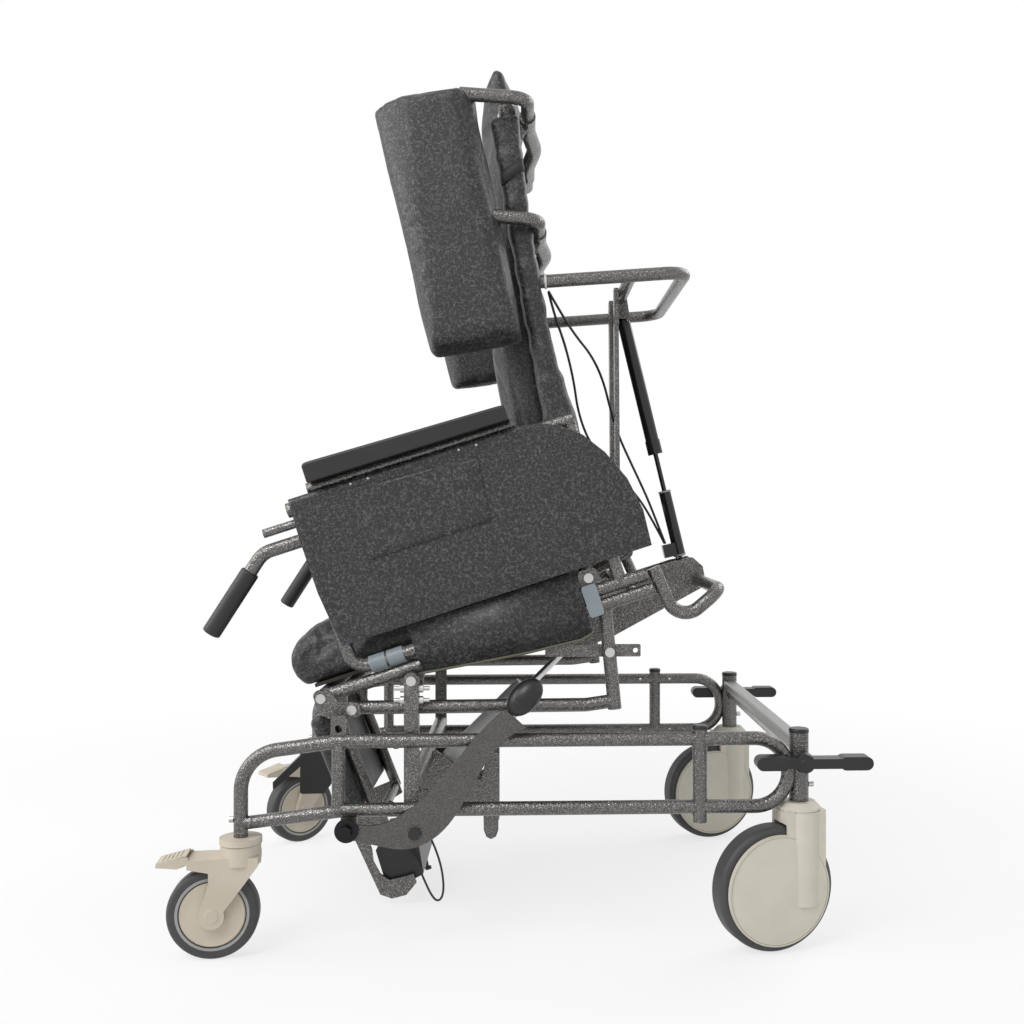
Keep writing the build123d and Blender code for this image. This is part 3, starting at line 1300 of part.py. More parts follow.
with BuildPart() as tilt_cylinder:
    rod(tilt_low + 8 * tilt_axis, tilt_low + 22 * tilt_axis, SPRING_EYE_D - 8)
    eye(tilt_low, SPRING_EYE_D, SPRING_PIN_D + 2 * RUNNING_FIT)
    rod(tilt_low + 18 * tilt_axis, tilt_low + (18 + TILT_CYL_L) * tilt_axis, TILT_CYL_D)
    rod(
        tilt_low + SPRING_BORE_END * tilt_axis,
        tilt_low + (19 + TILT_CYL_L) * tilt_axis,
        TILT_ROD_D + 2 * RUNNING_FIT,
        Mode.SUBTRACT,
    )
keep(tilt_cylinder.part, "tilt_spring_cylinder")

with BuildPart() as tilt_rod:
    rod_start = tilt_low + (18 + TILT_CYL_L - TILT_ROD_ENGAGED) * tilt_axis
    rod(rod_start, tilt_top - (SPRING_EYE_BORE + 2) / 2 * tilt_axis, TILT_ROD_D)
    eye(tilt_top, SPRING_EYE_D, SPRING_EYE_BORE)
keep(tilt_rod.part, "tilt_spring_rod")

# ==== recline spring =========================================================================
recline_top = Vector(RECLINE_TOP_X, 0, RECLINE_TOP_Z)
recline_low = Vector(RECLINE_LOW_X, 0, RECLINE_LOW_Z)
recline_axis = (recline_low - recline_top).normalized()
with BuildPart() as recline_cylinder:
    rod(recline_top + 6 * recline_axis, recline_top + 16 * recline_axis, 16.0)
    eye(recline_top, 18.0, SPRING_PIN_D + 2 * RUNNING_FIT)
    collar_start = recline_top + (RECLINE_CYL_L - RECLINE_COLLAR_L) * recline_axis
    cylinder_end = recline_top + RECLINE_CYL_L * recline_axis
    rod(recline_top + 13 * recline_axis, collar_start, RECLINE_CYL_D)
    rod(collar_start, cylinder_end, RECLINE_COLLAR_D)
    rod(
        recline_top + SPRING_BORE_END * recline_axis,
        cylinder_end + recline_axis,
        RECLINE_ROD_D + 2 * RUNNING_FIT,
        Mode.SUBTRACT,
    )
keep(recline_cylinder.part, "recline_spring_cylinder")

with BuildPart() as recline_rod:
    rod(cylinder_end - RECLINE_ROD_ENGAGED * recline_axis, recline_low - 30 * recline_axis, RECLINE_ROD_D)
    sleeve_start = recline_top + RECLINE_SLEEVE_FROM * recline_axis
    rod(sleeve_start, sleeve_start + RECLINE_SLEEVE_L * recline_axis, RECLINE_SLEEVE_D)
    rod(sleeve_start + RECLINE_SLEEVE_L * recline_axis, recline_low - 8 * recline_axis, 12.0)
    eye(recline_low, RECLINE_EYE_D, RECLINE_EYE_BORE)
    # release head beside the foot of the spring, where the two cables end
    head_slope = math.degrees(math.atan2(-recline_axis.X, recline_axis.Z))
    with BuildSketch(leaning_plane(recline_low.X, recline_low.Z, head_slope + 180)):
        with Locations((-RELEASE_HEAD_OUT / 2, (RELEASE_HEAD_FROM + RELEASE_HEAD_TO) / 2)):
            Rectangle(RELEASE_HEAD_OUT, RELEASE_HEAD_TO - RELEASE_HEAD_FROM)
    extrude(amount=RELEASE_HEAD_HALF_Y, both=True)
keep(recline_rod.part, "recline_spring_rod")

# ==== leg rest ===============================================================================
with BuildPart() as leg_side:
    bar_plane = leg_plane(-LEG_BAR_Y)
    bar_top = on(bar_plane, LEG_BAR_N, -LEG_BAR_TOP_D)
    bar_end = on(bar_plane, LEG_BAR_N, -LEG_BAR_END_D)
    rod(bar_top, bar_end, LEG_BAR_D)
    # knee plate from the hinge tube to the bar
    slab(
        bar_plane,
        [(-9, 6), (9, 9), (12, -22), (29, -38), (29, -62), (12, -62), (-9, -12)],
        10.0,
    )
    # foot plate with its hooked lower end
    slab(
        leg_plane(-FOOT_PLATE_Y),
        [
            (74, -212),
            (12, -212),
            (12, -238),
            (52, -246),
            (53, -268),
            (58, -287),
            (55, -310),
            (45, -324),
            (26, -327),
            (6, -329),
            (7, -344),
            (29, -356),
            (52, -353),
            (67, -340),
        ],
        PLATE_T,
    )
with BuildPart() as leg_frame:
    add(leg_side.part)
    add(mirror(leg_side.part, about=Plane.XZ))
    for bar_n, bar_d, bar_diameter, half_y in (
        (0, 0, LEG_HINGE_TUBE_D, LEG_HINGE_HALF_Y),
        (LEG_BAR_N, LEG_BAR_END_D - 2, LEG_BAR_D - 2, LEG_BAR_Y),
    ):
        rod(on(leg_plane(-half_y), bar_n, -bar_d), on(leg_plane(half_y), bar_n, -bar_d), bar_diameter)
    for side in (-1, 1):
        hinge_end = on(leg_plane(side * LEG_HINGE_HALF_Y), 0, 0)
        bore_end = on(leg_plane(side * (LEG_HINGE_HALF_Y - 22)), 0, 0)
        rod(hinge_end, bore_end, BOLT_D + 2 * RUNNING_FIT, Mode.SUBTRACT)
    # short pins that carry the foot block
    for side in (-1, 1):
        rod(
            (FOOT_HINGE_X, side * (FOOT_PLATE_Y + PLATE_T / 2), FOOT_HINGE_Z),
            (FOOT_HINGE_X, side * (FOOT_BLOCK_HALF_Y - 16), FOOT_HINGE_Z),
            BOLT_D,
        )
keep(leg_frame.part, "leg_rest_frame")


def calf_section(half_y, inset):
    """Side outline of the calf pad at one depth."""
    with BuildSketch(leg_plane(-half_y)) as outline:
        with BuildLine():
            Polyline(
                (CALF_BACK_N, -CALF_TOP_D - inset),
                (CALF_FRONT_N - 6 - inset, -CALF_TOP_D - inset),
                (CALF_FRONT_N - inset, -CALF_TOP_D - 8 - inset),
                (CALF_FRONT_N - inset, -CALF_BOTTOM_D + 8 + inset),
                (CALF_FRONT_N - 6 - inset, -CALF_BOTTOM_D + inset),
                (CALF_BACK_N, -CALF_BOTTOM_D + inset),
                close=True,
            )
        make_face()
    return outline.sketch


with BuildPart() as calf_half:
    calf_middle = calf_section(0, 0)
    calf_shoulder = calf_section(CALF_HALF_Y - 20, 0)
    calf_edge = calf_section(CALF_HALF_Y, 9)
    loft([calf_edge, calf_shoulder], ruled=True)
    loft([calf_shoulder, calf_middle], ruled=True)
with BuildPart() as calf_pad:
    add(calf_half.part)
    add(mirror(calf_half.part, about=Plane.XZ))
keep(calf_pad.part, "calf_pad")

with BuildPart() as foot_block:
    with BuildSketch(side_plane(0)) as foot_shape:
        with BuildLine():
            Polyline((-229, 88), (-208, 19), (-152, 47), (-160, 95), close=True)
        make_face()
        fillet(foot_shape.vertices(), 3.0)
    extrude(amount=FOOT_BLOCK_HALF_Y, both=True)
    for side in (-1, 1):
        rod(
            (FOOT_HINGE_X, side * FOOT_PLATE_Y, FOOT_HINGE_Z),
            (FOOT_HINGE_X, side * (FOOT_BLOCK_HALF_Y - 18), FOOT_HINGE_Z),
            BOLT_D + 2 * RUNNING_FIT,
            Mode.SUBTRACT,
        )
    # adjusting screw on the rear lower edge
    rod((-158, 0, 52), (-153, 0, 28), 5.0)
    rod((-153, 0, 31), (-152, 0, 27), 11.0)
keep(foot_block.part, "foot_block")

with BuildPart() as heel_bracket:
    slab(
        leg_plane(0),
        [(CALF_FRONT_N, -92), (110, -82), (137, -150), (100, -164), (CALF_FRONT_N, -140)],
        2 * HEEL_HALF_Y,
        4.0,
    )
    slab(leg_plane(0), [(104, -88), (171, -116), (175, -128), (106, -104)], 2 * HEEL_HALF_Y)
    add(calf_pad.part, mode=Mode.SUBTRACT)
keep(heel_bracket.part, "heel_bracket")

# ==== release cables =========================================================================
def cord_radii(points):
    """Arc radius at each inner point: 0.45 of the shorter run over the tangent of half the turn."""
    radii = []
    for before, here, after in zip(points, points[1:], points[2:]):
        run_in = Vector(*here) - Vector(*before)
        run_out = Vector(*after) - Vector(*here)
        turn = math.radians(run_in.get_angle(run_out))
        radii.append(0.45 * min(run_in.length, run_out.length) / math.tan(turn / 2))
    return radii


def cord(points, diameter):
    radii = cord_radii(points)
    print("cord radii", [round(radius, 1) for radius in radii])
    bent(points, diameter, radii)


cable_end = recline_low - (RELEASE_HEAD_TO + 2) * recline_axis
cable_end_x = cable_end.X + (RELEASE_HEAD_OUT - 6) * recline_axis.Z
cable_end_z = cable_end.Z - (RELEASE_HEAD_OUT - 6) * recline_axis.X
CABLE_NEAR_ROUTE = [
    (46, -206, 960),
    (66, -174, 932),
    (89, -132, 905),
    (118, -84, 879),
    (139, -45, 843),
    (151, -40, 796),
    (165, -35, 752),
    (189, -28, 702),
    (213, -20, 653),
    (231, -11, 610),
    (cable_end_x, -5, cable_end_z),
]
CABLE_FAR_ROUTE = [
    (46, -199, 960),
    (56, -163, 930),
    (73, -122, 893),
    (88, -86, 842),
    (97, -62, 786),
    (118, -48, 736),
    (154, -38, 697),
    (197, -21, 654),
    (223, -8, 615),
    (cable_end_x, 5, cable_end_z),
]
with BuildPart() as cable_near:
    cord(CABLE_NEAR_ROUTE, CABLE_D)
with BuildPart() as cable_far:
    cord(CABLE_FAR_ROUTE, CABLE_D)
keep(Compound(children=[cable_near.part, cable_far.part]), "release_cables")

LEG_CABLE_ROUTE = [
    (-206, -109, 168),
    (-182, -109, 158),
    (-156, -109, 137),
    (-137, -109, 105),
    (-123, -109, 66),
    (-118.5, -109, 32),
    (-121.5, -109, 13),
    (-130, -109, 8),
    (-139, -109, 19),
    (-148, -109, 38),
    (-158, -109, 62),
    (-172, -109, 86),
    (-191, -109, 106),
    (-206, -109, 128),
]
with BuildPart() as leg_cable:
    cord(LEG_CABLE_ROUTE, LEG_CABLE_D)
keep(leg_cable.part, "leg_rest_cable")
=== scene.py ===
"""Looks of the tilt in space wheelchair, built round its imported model."""

import math

import bmesh
import bpy
from mathutils import Matrix, Vector, noise


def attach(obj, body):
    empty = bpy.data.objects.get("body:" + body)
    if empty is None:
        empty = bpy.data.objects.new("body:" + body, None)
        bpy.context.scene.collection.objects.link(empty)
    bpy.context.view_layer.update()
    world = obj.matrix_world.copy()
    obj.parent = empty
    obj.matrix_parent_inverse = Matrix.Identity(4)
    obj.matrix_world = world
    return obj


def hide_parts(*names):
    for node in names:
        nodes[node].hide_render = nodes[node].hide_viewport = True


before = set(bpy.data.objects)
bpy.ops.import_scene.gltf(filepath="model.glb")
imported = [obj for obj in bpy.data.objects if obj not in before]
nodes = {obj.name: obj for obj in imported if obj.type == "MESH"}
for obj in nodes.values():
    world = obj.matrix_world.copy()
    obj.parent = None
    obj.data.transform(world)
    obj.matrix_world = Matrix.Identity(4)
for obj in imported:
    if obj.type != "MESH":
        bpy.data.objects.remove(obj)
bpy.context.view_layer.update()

# Camera: level with the side skirts, about two metres from the middle of the chair, turned
# slightly to the rear. The shift puts the picture's centre left of the lens axis.
camera = bpy.data.objects.new("camera", bpy.data.cameras.new("camera"))
bpy.context.scene.collection.objects.link(camera)
camera.location = (0.0153, -2.0019, 0.6283)
camera.rotation_euler = (math.radians(90) + 0.0016, 0, -0.03918)
camera.data.lens = 41.733
camera.data.shift_x = -0.0614
camera.data.shift_y = -0.00315
bpy.context.scene.camera = camera

# Release cables: two black jacketed wires from the near end of the back's upper crossbar down
# to the release head at the foot of the recline spring, and one loop behind the foot block.
CABLE_ROUTES = {
    "release_cable_near": [
        (46, -206, 960),
        (66, -174, 932),
        (89, -132, 905),
        (118, -84, 879),
        (139, -45, 843),
        (151, -40, 796),
        (165, -35, 752),
        (189, -28, 702),
        (213, -20, 653),
        (231, -11, 610),
        (246.2, -5, 572.8),
    ],
    "release_cable_far": [
        (46, -199, 960),
        (56, -163, 930),
        (73, -122, 893),
        (88, -86, 842),
        (97, -62, 786),
        (118, -48, 736),
        (154, -38, 697),
        (197, -21, 654),
        (223, -8, 615),
        (246.2, 5, 572.8),
    ],
    "leg_rest_wire": [
        (-206, -109, 168),
        (-182, -109, 158),
        (-156, -109, 137),
        (-137, -109, 105),
        (-123, -109, 66),
        (-118.5, -109, 32),
        (-121.5, -109, 13),
        (-130, -109, 8),
        (-139, -109, 19),
        (-148, -109, 38),
        (-158, -109, 62),
        (-172, -109, 86),
        (-191, -109, 106),
        (-206, -109, 128),
    ],
}
CABLE_FACTS = {
    "release_cable_near": (0.004, 0.51, "back", "release_cables", "hanging"),
    "release_cable_far": (0.004, 0.50, "back", "release_cables", "hanging"),
    "leg_rest_wire": (0.0035, 0.34, "leg_rest", "leg_rest_cable", "hanging"),
}


def new_material(name):
    """An empty node material and its shader."""
    material = bpy.data.materials.new(name)
    material.use_nodes = True
    return material, material.node_tree, material.node_tree.nodes["Principled BSDF"]


def object_pattern(tree, kind, scale, stretch=(1, 1, 1)):
    """A texture node that reads the piece's own coordinates, in metres."""
    coords = tree.nodes.new("ShaderNodeTexCoord")
    mapping = tree.nodes.new("ShaderNodeMapping")
    mapping.inputs["Scale"].default_value = stretch
    texture = tree.nodes.new(kind)
    texture.inputs["Scale"].default_value = scale
    tree.links.new(coords.outputs["Object"], mapping.inputs["Vector"])
    tree.links.new(mapping.outputs["Vector"], texture.inputs["Vector"])
    return texture


def colour_ramp(tree, source, stops):
    """Colours along a value, as (place, colour) stops."""
    ramp = tree.nodes.new("ShaderNodeValToRGB")
    while len(ramp.color_ramp.elements) < len(stops):
        ramp.color_ramp.elements.new(0.5)
    for element, (place, colour) in zip(ramp.color_ramp.elements, stops):
        element.position = place
        element.color = (*colour, 1)
    tree.links.new(source, ramp.inputs["Fac"])
    return ramp.outputs["Color"]


def relief(tree, shader, height, strength, distance):
    """Bump from a height value."""
    bump = tree.nodes.new("ShaderNodeBump")
    bump.inputs["Strength"].default_value = strength
    bump.inputs["Distance"].default_value = distance
    tree.links.new(height, bump.inputs["Height"])
    tree.links.new(bump.outputs["Normal"], shader.inputs["Normal"])
    return bump


def moulded(name, dark, light, rough, grain=900.0, bump=0.15):
    """Moulded plastic or rubber with a fine grain and slight colour drift."""
    material, tree, shader = new_material(name)
    drift = object_pattern(tree, "ShaderNodeTexNoise", 14.0)
    drift.inputs["Detail"].default_value = 5.0
    tint = colour_ramp(tree, drift.outputs["Fac"], [(0.35, dark), (0.65, light)])
    tree.links.new(tint, shader.inputs["Base Color"])
    grain_noise = object_pattern(tree, "ShaderNodeTexNoise", grain)
    grain_noise.inputs["Detail"].default_value = 3.0
    relief(tree, shader, grain_noise.outputs["Fac"], bump, 0.0004)
    shader.inputs["Roughness"].default_value = rough
    return material


def dress(material, *names):
    """Give CAD nodes a finish."""
    for name in names:
        for place in nodes[name].material_slots:
            place.material = material


cable_jacket = moulded("cable_jacket", (0.008, 0.008, 0.009), (0.014, 0.014, 0.015), 0.42)
for cable_name, route in CABLE_ROUTES.items():
    diameter, length, body, node, lay = CABLE_FACTS[cable_name]
    curve = bpy.data.curves.new(cable_name, "CURVE")
    curve.dimensions = "3D"
    curve.bevel_depth = diameter / 2
    curve.bevel_resolution = 4
    curve.use_fill_caps = True
    spline = curve.splines.new("NURBS")
    spline.points.add(len(route) - 1)
    for point, place in zip(spline.points, route):
        point.co = (*[value / 1000 for value in place], 1)
    spline.order_u = 3
    spline.use_endpoint_u = True
    spline.resolution_u = 12
    curve.materials.append(cable_jacket)
    cable = bpy.data.objects.new(cable_name, curve)
    bpy.context.scene.collection.objects.link(cable)
    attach(cable, body)
    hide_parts(node)
    start = [value / 1000 for value in route[0]]

# Welded steel tube: the base frames, seat frame, back frame, arms and leg rest. The tube has a
# thick hammered powder coat, warm dark grey with bright flecks where the light catches it.


def hammered_paint(name, dark, light, fleck, dimple=0.0028):
    """Thick powder coat whose dimples catch the light."""
    material, tree, shader = new_material(name)
    warp = object_pattern(tree, "ShaderNodeTexNoise", 1 / dimple)
    warp.inputs["Detail"].default_value = 2.0
    cells = object_pattern(tree, "ShaderNodeTexVoronoi", 1 / dimple)
    cells.feature = "SMOOTH_F1"
    flecks = object_pattern(tree, "ShaderNodeTexNoise", 1.9 / dimple)
    flecks.inputs["Detail"].default_value = 4.0
    flecks.inputs["Roughness"].default_value = 0.7
    tint = colour_ramp(
        tree, flecks.outputs["Fac"], [(0.34, dark), (0.54, light), (0.68, fleck)]
    )
    tree.links.new(tint, shader.inputs["Base Color"])
    height = tree.nodes.new("ShaderNodeMath")
    height.operation = "MULTIPLY_ADD"
    height.inputs[1].default_value = 0.55
    tree.links.new(cells.outputs["Distance"], height.inputs[0])
    tree.links.new(warp.outputs["Fac"], height.inputs[2])
    relief(tree, shader, height.outputs["Value"], 0.85, 0.0011)
    shader.inputs["Metallic"].default_value = 0.8
    shader.inputs["Roughness"].default_value = 0.27
    return material


frame_paint = hammered_paint(
    "frame_paint", (0.05, 0.048, 0.047), (0.15, 0.144, 0.138), (0.5, 0.48, 0.46)
)
dress(frame_paint, "base_frame_near", "base_frame_far", "base_cross_tube", "seat_frame")
dress(frame_paint, "seat_cradle_tubes", "seat_link_plates", "seat_rear_bumper", "seat_spine")
dress(frame_paint, "arm_frames", "arm_tubes", "back_frame", "back_braces", "hoop_tubes")
dress(frame_paint, "wing_arms_near", "wing_arms_far", "leg_rest_frame")
dress(frame_paint, "front_handle_near", "front_handle_far")

lever_paint = hammered_paint(
    "lever_paint", (0.06, 0.057, 0.055), (0.115, 0.11, 0.106), (0.23, 0.22, 0.21), 0.002
)
dress(lever_paint, "side_lever_arm")


def bright_metal(name, colour, rough, brush=(1, 1, 1)):
    """Bare or plated metal with fine brush marks."""
    material, tree, shader = new_material(name)
    marks = object_pattern(tree, "ShaderNodeTexNoise", 700.0, brush)
    marks.inputs["Detail"].default_value = 6.0
    worn = colour_ramp(
        tree,
        marks.outputs["Fac"],
        [(0.3, tuple(0.8 * c for c in colour)), (0.7, colour)],
    )
    tree.links.new(worn, shader.inputs["Base Color"])
    relief(tree, shader, marks.outputs["Fac"], 0.12, 0.0003)
    shader.inputs["Metallic"].default_value = 1.0
    shader.inputs["Roughness"].default_value = rough
    return material


zinc = bright_metal("zinc_plate", (0.62, 0.62, 0.6), 0.3)
dress(zinc, "base_screws", "seat_bolts", "lock_shaft")
crossbar_steel = bright_metal("crossbar_steel", (0.36, 0.355, 0.345), 0.42, (1, 0.02, 1))
dress(crossbar_steel, "base_rear_crossbar")
chrome = bright_metal("spring_chrome", (0.75, 0.75, 0.75), 0.16)
dress(chrome, "tilt_spring_rod")
spring_grey = moulded("spring_grey", (0.5, 0.5, 0.5), (0.58, 0.58, 0.575), 0.35)
dress(spring_grey, "tilt_spring_cylinder")
spring_black = moulded(
    "spring_black", (0.008, 0.008, 0.009), (0.012, 0.012, 0.014), 0.16, 600.0, 0.03
)
dress(spring_black, "recline_spring_cylinder", "recline_spring_rod")

# Moulded plastic and rubber: caps, pedals, knob, clips, grips, foot block.
black_plastic = moulded("black_plastic", (0.007, 0.007, 0.0075), (0.012, 0.012, 0.0125), 0.36)
dress(black_plastic, "base_caps", "lock_pedals", "side_lever_knob", "side_lever_roller")
dress(black_plastic, "foot_block", "heel_bracket")
grip_rubber = moulded("grip_rubber", (0.009, 0.009, 0.0095), (0.015, 0.015, 0.0155), 0.5)
dress(grip_rubber, "front_grip_near", "front_grip_far")
clip_plastic = moulded("clip_plastic", (0.19, 0.225, 0.25), (0.24, 0.275, 0.3), 0.42)
dress(clip_plastic, "seat_rail_clips")
caster_front = moulded("caster_plastic_front", (0.52, 0.46, 0.37), (0.57, 0.51, 0.42), 0.5)
dress(caster_front, "front_fork_near", "front_fork_far", "front_pedal_near")
dress(caster_front, "front_pedal_far", "front_hub_near", "front_hub_far")
caster_rear = moulded("caster_plastic_rear", (0.6, 0.575, 0.48), (0.66, 0.63, 0.53), 0.45)
dress(caster_rear, "rear_housing_near", "rear_housing_far")
tyre_rubber = moulded("tyre_rubber", (0.042, 0.042, 0.044), (0.062, 0.062, 0.065), 0.55)
dress(tyre_rubber, "front_tyre_near", "front_tyre_far", "rear_wheel_near", "rear_wheel_far")


def crackle_vinyl(name, dark, light, rough, cell, bump=0.5):
    """Coated upholstery cloth with a fine crackle of paler veins."""
    material, tree, shader = new_material(name)
    coords = tree.nodes.new("ShaderNodeTexCoord")
    warp = tree.nodes.new("ShaderNodeTexNoise")
    warp.inputs["Scale"].default_value = 0.45 / cell
    warp.inputs["Detail"].default_value = 3.0
    tree.links.new(coords.outputs["Object"], warp.inputs["Vector"])
    bend = tree.nodes.new("ShaderNodeVectorMath")
    bend.operation = "MULTIPLY_ADD"
    bend.inputs[1].default_value = (2.2 * cell,) * 3
    tree.links.new(warp.outputs["Color"], bend.inputs[0])
    tree.links.new(coords.outputs["Object"], bend.inputs[2])
    veins = tree.nodes.new("ShaderNodeTexVoronoi")
    veins.feature = "DISTANCE_TO_EDGE"
    veins.inputs["Scale"].default_value = 1 / cell
    tree.links.new(bend.outputs["Vector"], veins.inputs["Vector"])
    patch = tree.nodes.new("ShaderNodeTexNoise")
    patch.inputs["Scale"].default_value = 0.8 / cell
    patch.inputs["Detail"].default_value = 2.0
    tree.links.new(coords.outputs["Object"], patch.inputs["Vector"])
    vein = tree.nodes.new("ShaderNodeMath")
    vein.operation = "MULTIPLY_ADD"
    vein.inputs[1].default_value = 0.55
    tree.links.new(patch.outputs["Fac"], vein.inputs[0])
    tree.links.new(veins.outputs["Distance"], vein.inputs[2])
    tint = colour_ramp(
        tree, vein.outputs["Value"], [(0.25, light), (0.385, dark), (0.7, dark)]
    )
    tree.links.new(tint, shader.inputs["Base Color"])
    relief(tree, shader, veins.outputs["Distance"], bump, 0.0006)
    shader.inputs["Roughness"].default_value = rough
    shader.inputs["Sheen Weight"].default_value = 0.05
    return material


vinyl = crackle_vinyl(
    "charcoal_vinyl", (0.0095, 0.0096, 0.0102), (0.085, 0.086, 0.09), 0.46, 0.0038
)
dress(vinyl, "seat_cushion", "back_cushion", "wing_pad_near", "wing_pad_far", "seat_skirts")
dress(vinyl, "back_post_covers", "calf_pad")
pad_vinyl = moulded(
    "arm_pad_vinyl", (0.008, 0.008, 0.0085), (0.012, 0.012, 0.0125), 0.42, 500.0, 0.25
)
dress(pad_vinyl, "arm_pads")
board_wood = moulded("board_wood", (0.03, 0.024, 0.018), (0.045, 0.036, 0.027), 0.7)
dress(board_wood, "seat_board")

# Leaning frames: the seat, the back and the leg rest are each drawn in millimetres from an
# origin at the chair's middle, given here as X and Z, and along axes leant by their own angle.
SEAT_X, SEAT_Z = -152, 385
BACK_X, BACK_Z = 103, 530
LEG_X, LEG_Z = -282.175, 358.476


def leaning(degrees):
    """Cosine and sine of a lean."""
    return math.cos(math.radians(degrees)), math.sin(math.radians(degrees))


SEAT_AXES = leaning(18)
BACK_AXES = leaning(9.75)
LEG_AXES = leaning(21.5)


def seat_at(u, y, w):
    """A point given along and above the seat, in millimetres, as a place in metres."""
    c, s = SEAT_AXES
    return Vector((SEAT_X + u * c - w * s, y, SEAT_Z + u * s + w * c)) / 1000


def back_at(r, y, h):
    """A point given behind and up the back, in millimetres, as a place in metres."""
    c, s = BACK_AXES
    return Vector((BACK_X + r * c - h * s, y, BACK_Z + r * s + h * c)) / 1000


def leg_at(n, y, d):
    """A point given ahead of and down the leg rest, in millimetres, as a place in metres."""
    c, s = LEG_AXES
    return Vector((LEG_X - n * c + d * s, y, LEG_Z - n * s - d * c)) / 1000


def seat_place(point):
    """Along and above the seat, in millimetres, of a place in metres."""
    c, s = SEAT_AXES
    x, z = point.x - SEAT_X / 1000, point.z - SEAT_Z / 1000
    return 1000 * (x * c + z * s), 1000 * (z * c - x * s)


def back_place(point):
    """Behind and up the back, in millimetres, of a place in metres."""
    c, s = BACK_AXES
    x, z = point.x - BACK_X / 1000, point.z - BACK_Z / 1000
    return 1000 * (x * c + z * s), 1000 * (z * c - x * s)


def new_piece(name, bm, material, smooth=True):
    """Turn a bmesh into an object at the origin with one finish."""
    bmesh.ops.recalc_face_normals(bm, faces=bm.faces)
    mesh = bpy.data.meshes.new(name)
    bm.to_mesh(mesh)
    bm.free()
    mesh.materials.append(material)
    for face in mesh.polygons:
        face.use_smooth = smooth
    piece = bpy.data.objects.new(name, mesh)
    bpy.context.scene.collection.objects.link(piece)
    return piece


def slab_between(at, outline, near, far):
    """A closed block: an outline in a leaning frame, carried across the chair."""
    bm = bmesh.new()
    corners = [bm.verts.new(at(a, near, b)) for a, b in outline]
    face = bm.faces.new(corners)
    grown = bmesh.ops.extrude_face_region(bm, geom=[face])
    moved = [part for part in grown["geom"] if isinstance(part, bmesh.types.BMVert)]
    bmesh.ops.translate(bm, verts=moved, vec=(0, (far - near) / 1000, 0))
    bmesh.ops.recalc_face_normals(bm, faces=bm.faces)
    return bm


def rim_edges(bm):
    """The edges round a block's two side faces."""
    return [e for e in bm.edges if abs(e.verts[0].co.y - e.verts[1].co.y) < 1e-5]


def soften(bm, edges, width, segments):
    """Round some edges over."""
    bmesh.ops.bevel(
        bm,
        geom=edges,
        offset=width,
        segments=segments,
        profile=0.5,
        affect="EDGES",
        material=-1,
        clamp_overlap=True,
    )


def apply_modifiers(piece):
    """Make a piece's modifiers its mesh."""
    graph = bpy.context.evaluated_depsgraph_get()
    made = bpy.data.meshes.new_from_object(piece.evaluated_get(graph))
    piece.modifiers.clear()
    old = piece.data
    piece.data = made
    bpy.data.meshes.remove(old)
    for face in made.polygons:
        face.use_smooth = True


def even_mesh(piece, voxel):
    """Give a padded piece one even skin of small faces."""
    remesh = piece.modifiers.new("even", "REMESH")
    remesh.mode = "VOXEL"
    remesh.voxel_size = voxel
    apply_modifiers(piece)


STUFF_FRAMES = 20


def stuff(piece, pressure, cap, held=None):
    """Swell a cover over its foam as cloth under pressure; held points stay where they are."""
    rest = [v.co.copy() for v in piece.data.vertices]
    cloth = piece.modifiers.new("stuffing", "CLOTH")
    cloth.settings.quality = 6
    cloth.settings.mass = 0.3
    cloth.settings.tension_stiffness = 18
    cloth.settings.compression_stiffness = 18
    cloth.settings.shear_stiffness = 8
    cloth.settings.bending_stiffness = 0.6
    cloth.settings.use_pressure = True
    cloth.settings.uniform_pressure_force = pressure
    cloth.settings.effector_weights.gravity = 0
    if held:
        group = piece.vertex_groups.new(name="held")
        group.add([v.index for v in piece.data.vertices if held(v.co)], 1.0, "REPLACE")
        cloth.settings.vertex_group_mass = "held"
    for step in range(STUFF_FRAMES):
        bpy.context.scene.frame_set(step + 1)
    apply_modifiers(piece)
    bpy.context.scene.frame_set(1)
    for v, before in zip(piece.data.vertices, rest):
        travel = v.co - before
        if travel.length > cap:
            v.co = before + travel * (cap / travel.length)
    piece.vertex_groups.clear()


def ripple(piece, depth, size, seed=0.0):
    """Slight unevenness of a cover over foam."""
    normals = [v.normal.copy() for v in piece.data.vertices]
    for v, normal in zip(piece.data.vertices, normals):
        place = v.co / size + Vector((seed, 0, 0))
        v.co += normal * depth * noise.noise(place)


def finer(piece):
    """One level of subdivision, made part of the mesh."""
    fine = piece.modifiers.new("finer", "SUBSURF")
    fine.levels = 1
    fine.render_levels = 1
    apply_modifiers(piece)


# Seat cushion: foam in a charcoal vinyl cover on a plywood board. The nose rolls over at the
# front, the top is crowned, and both rear corners are cut away round the back posts.
SEAT_PROFILE = [
    (-160, 34),
    (-172, 46),
    (-178, 66),
    (-173, 86),
    (-158, 97),
    (-130, 104),
    (60, 113),
    (278, 104),
    (291, 92),
    (292, 34),
]
SEAT_HALF_Y = 234
bm = slab_between(seat_at, SEAT_PROFILE, -SEAT_HALF_Y, SEAT_HALF_Y)
soften(bm, rim_edges(bm), width=0.016, segments=4)
seat_cover = new_piece("seat_cover", bm, vinyl)
even_mesh(seat_cover, voxel=0.006)


def seat_under(place):
    """True on the flat underside of the seat cushion, which lies on its board."""
    return seat_place(place)[1] < 36.5


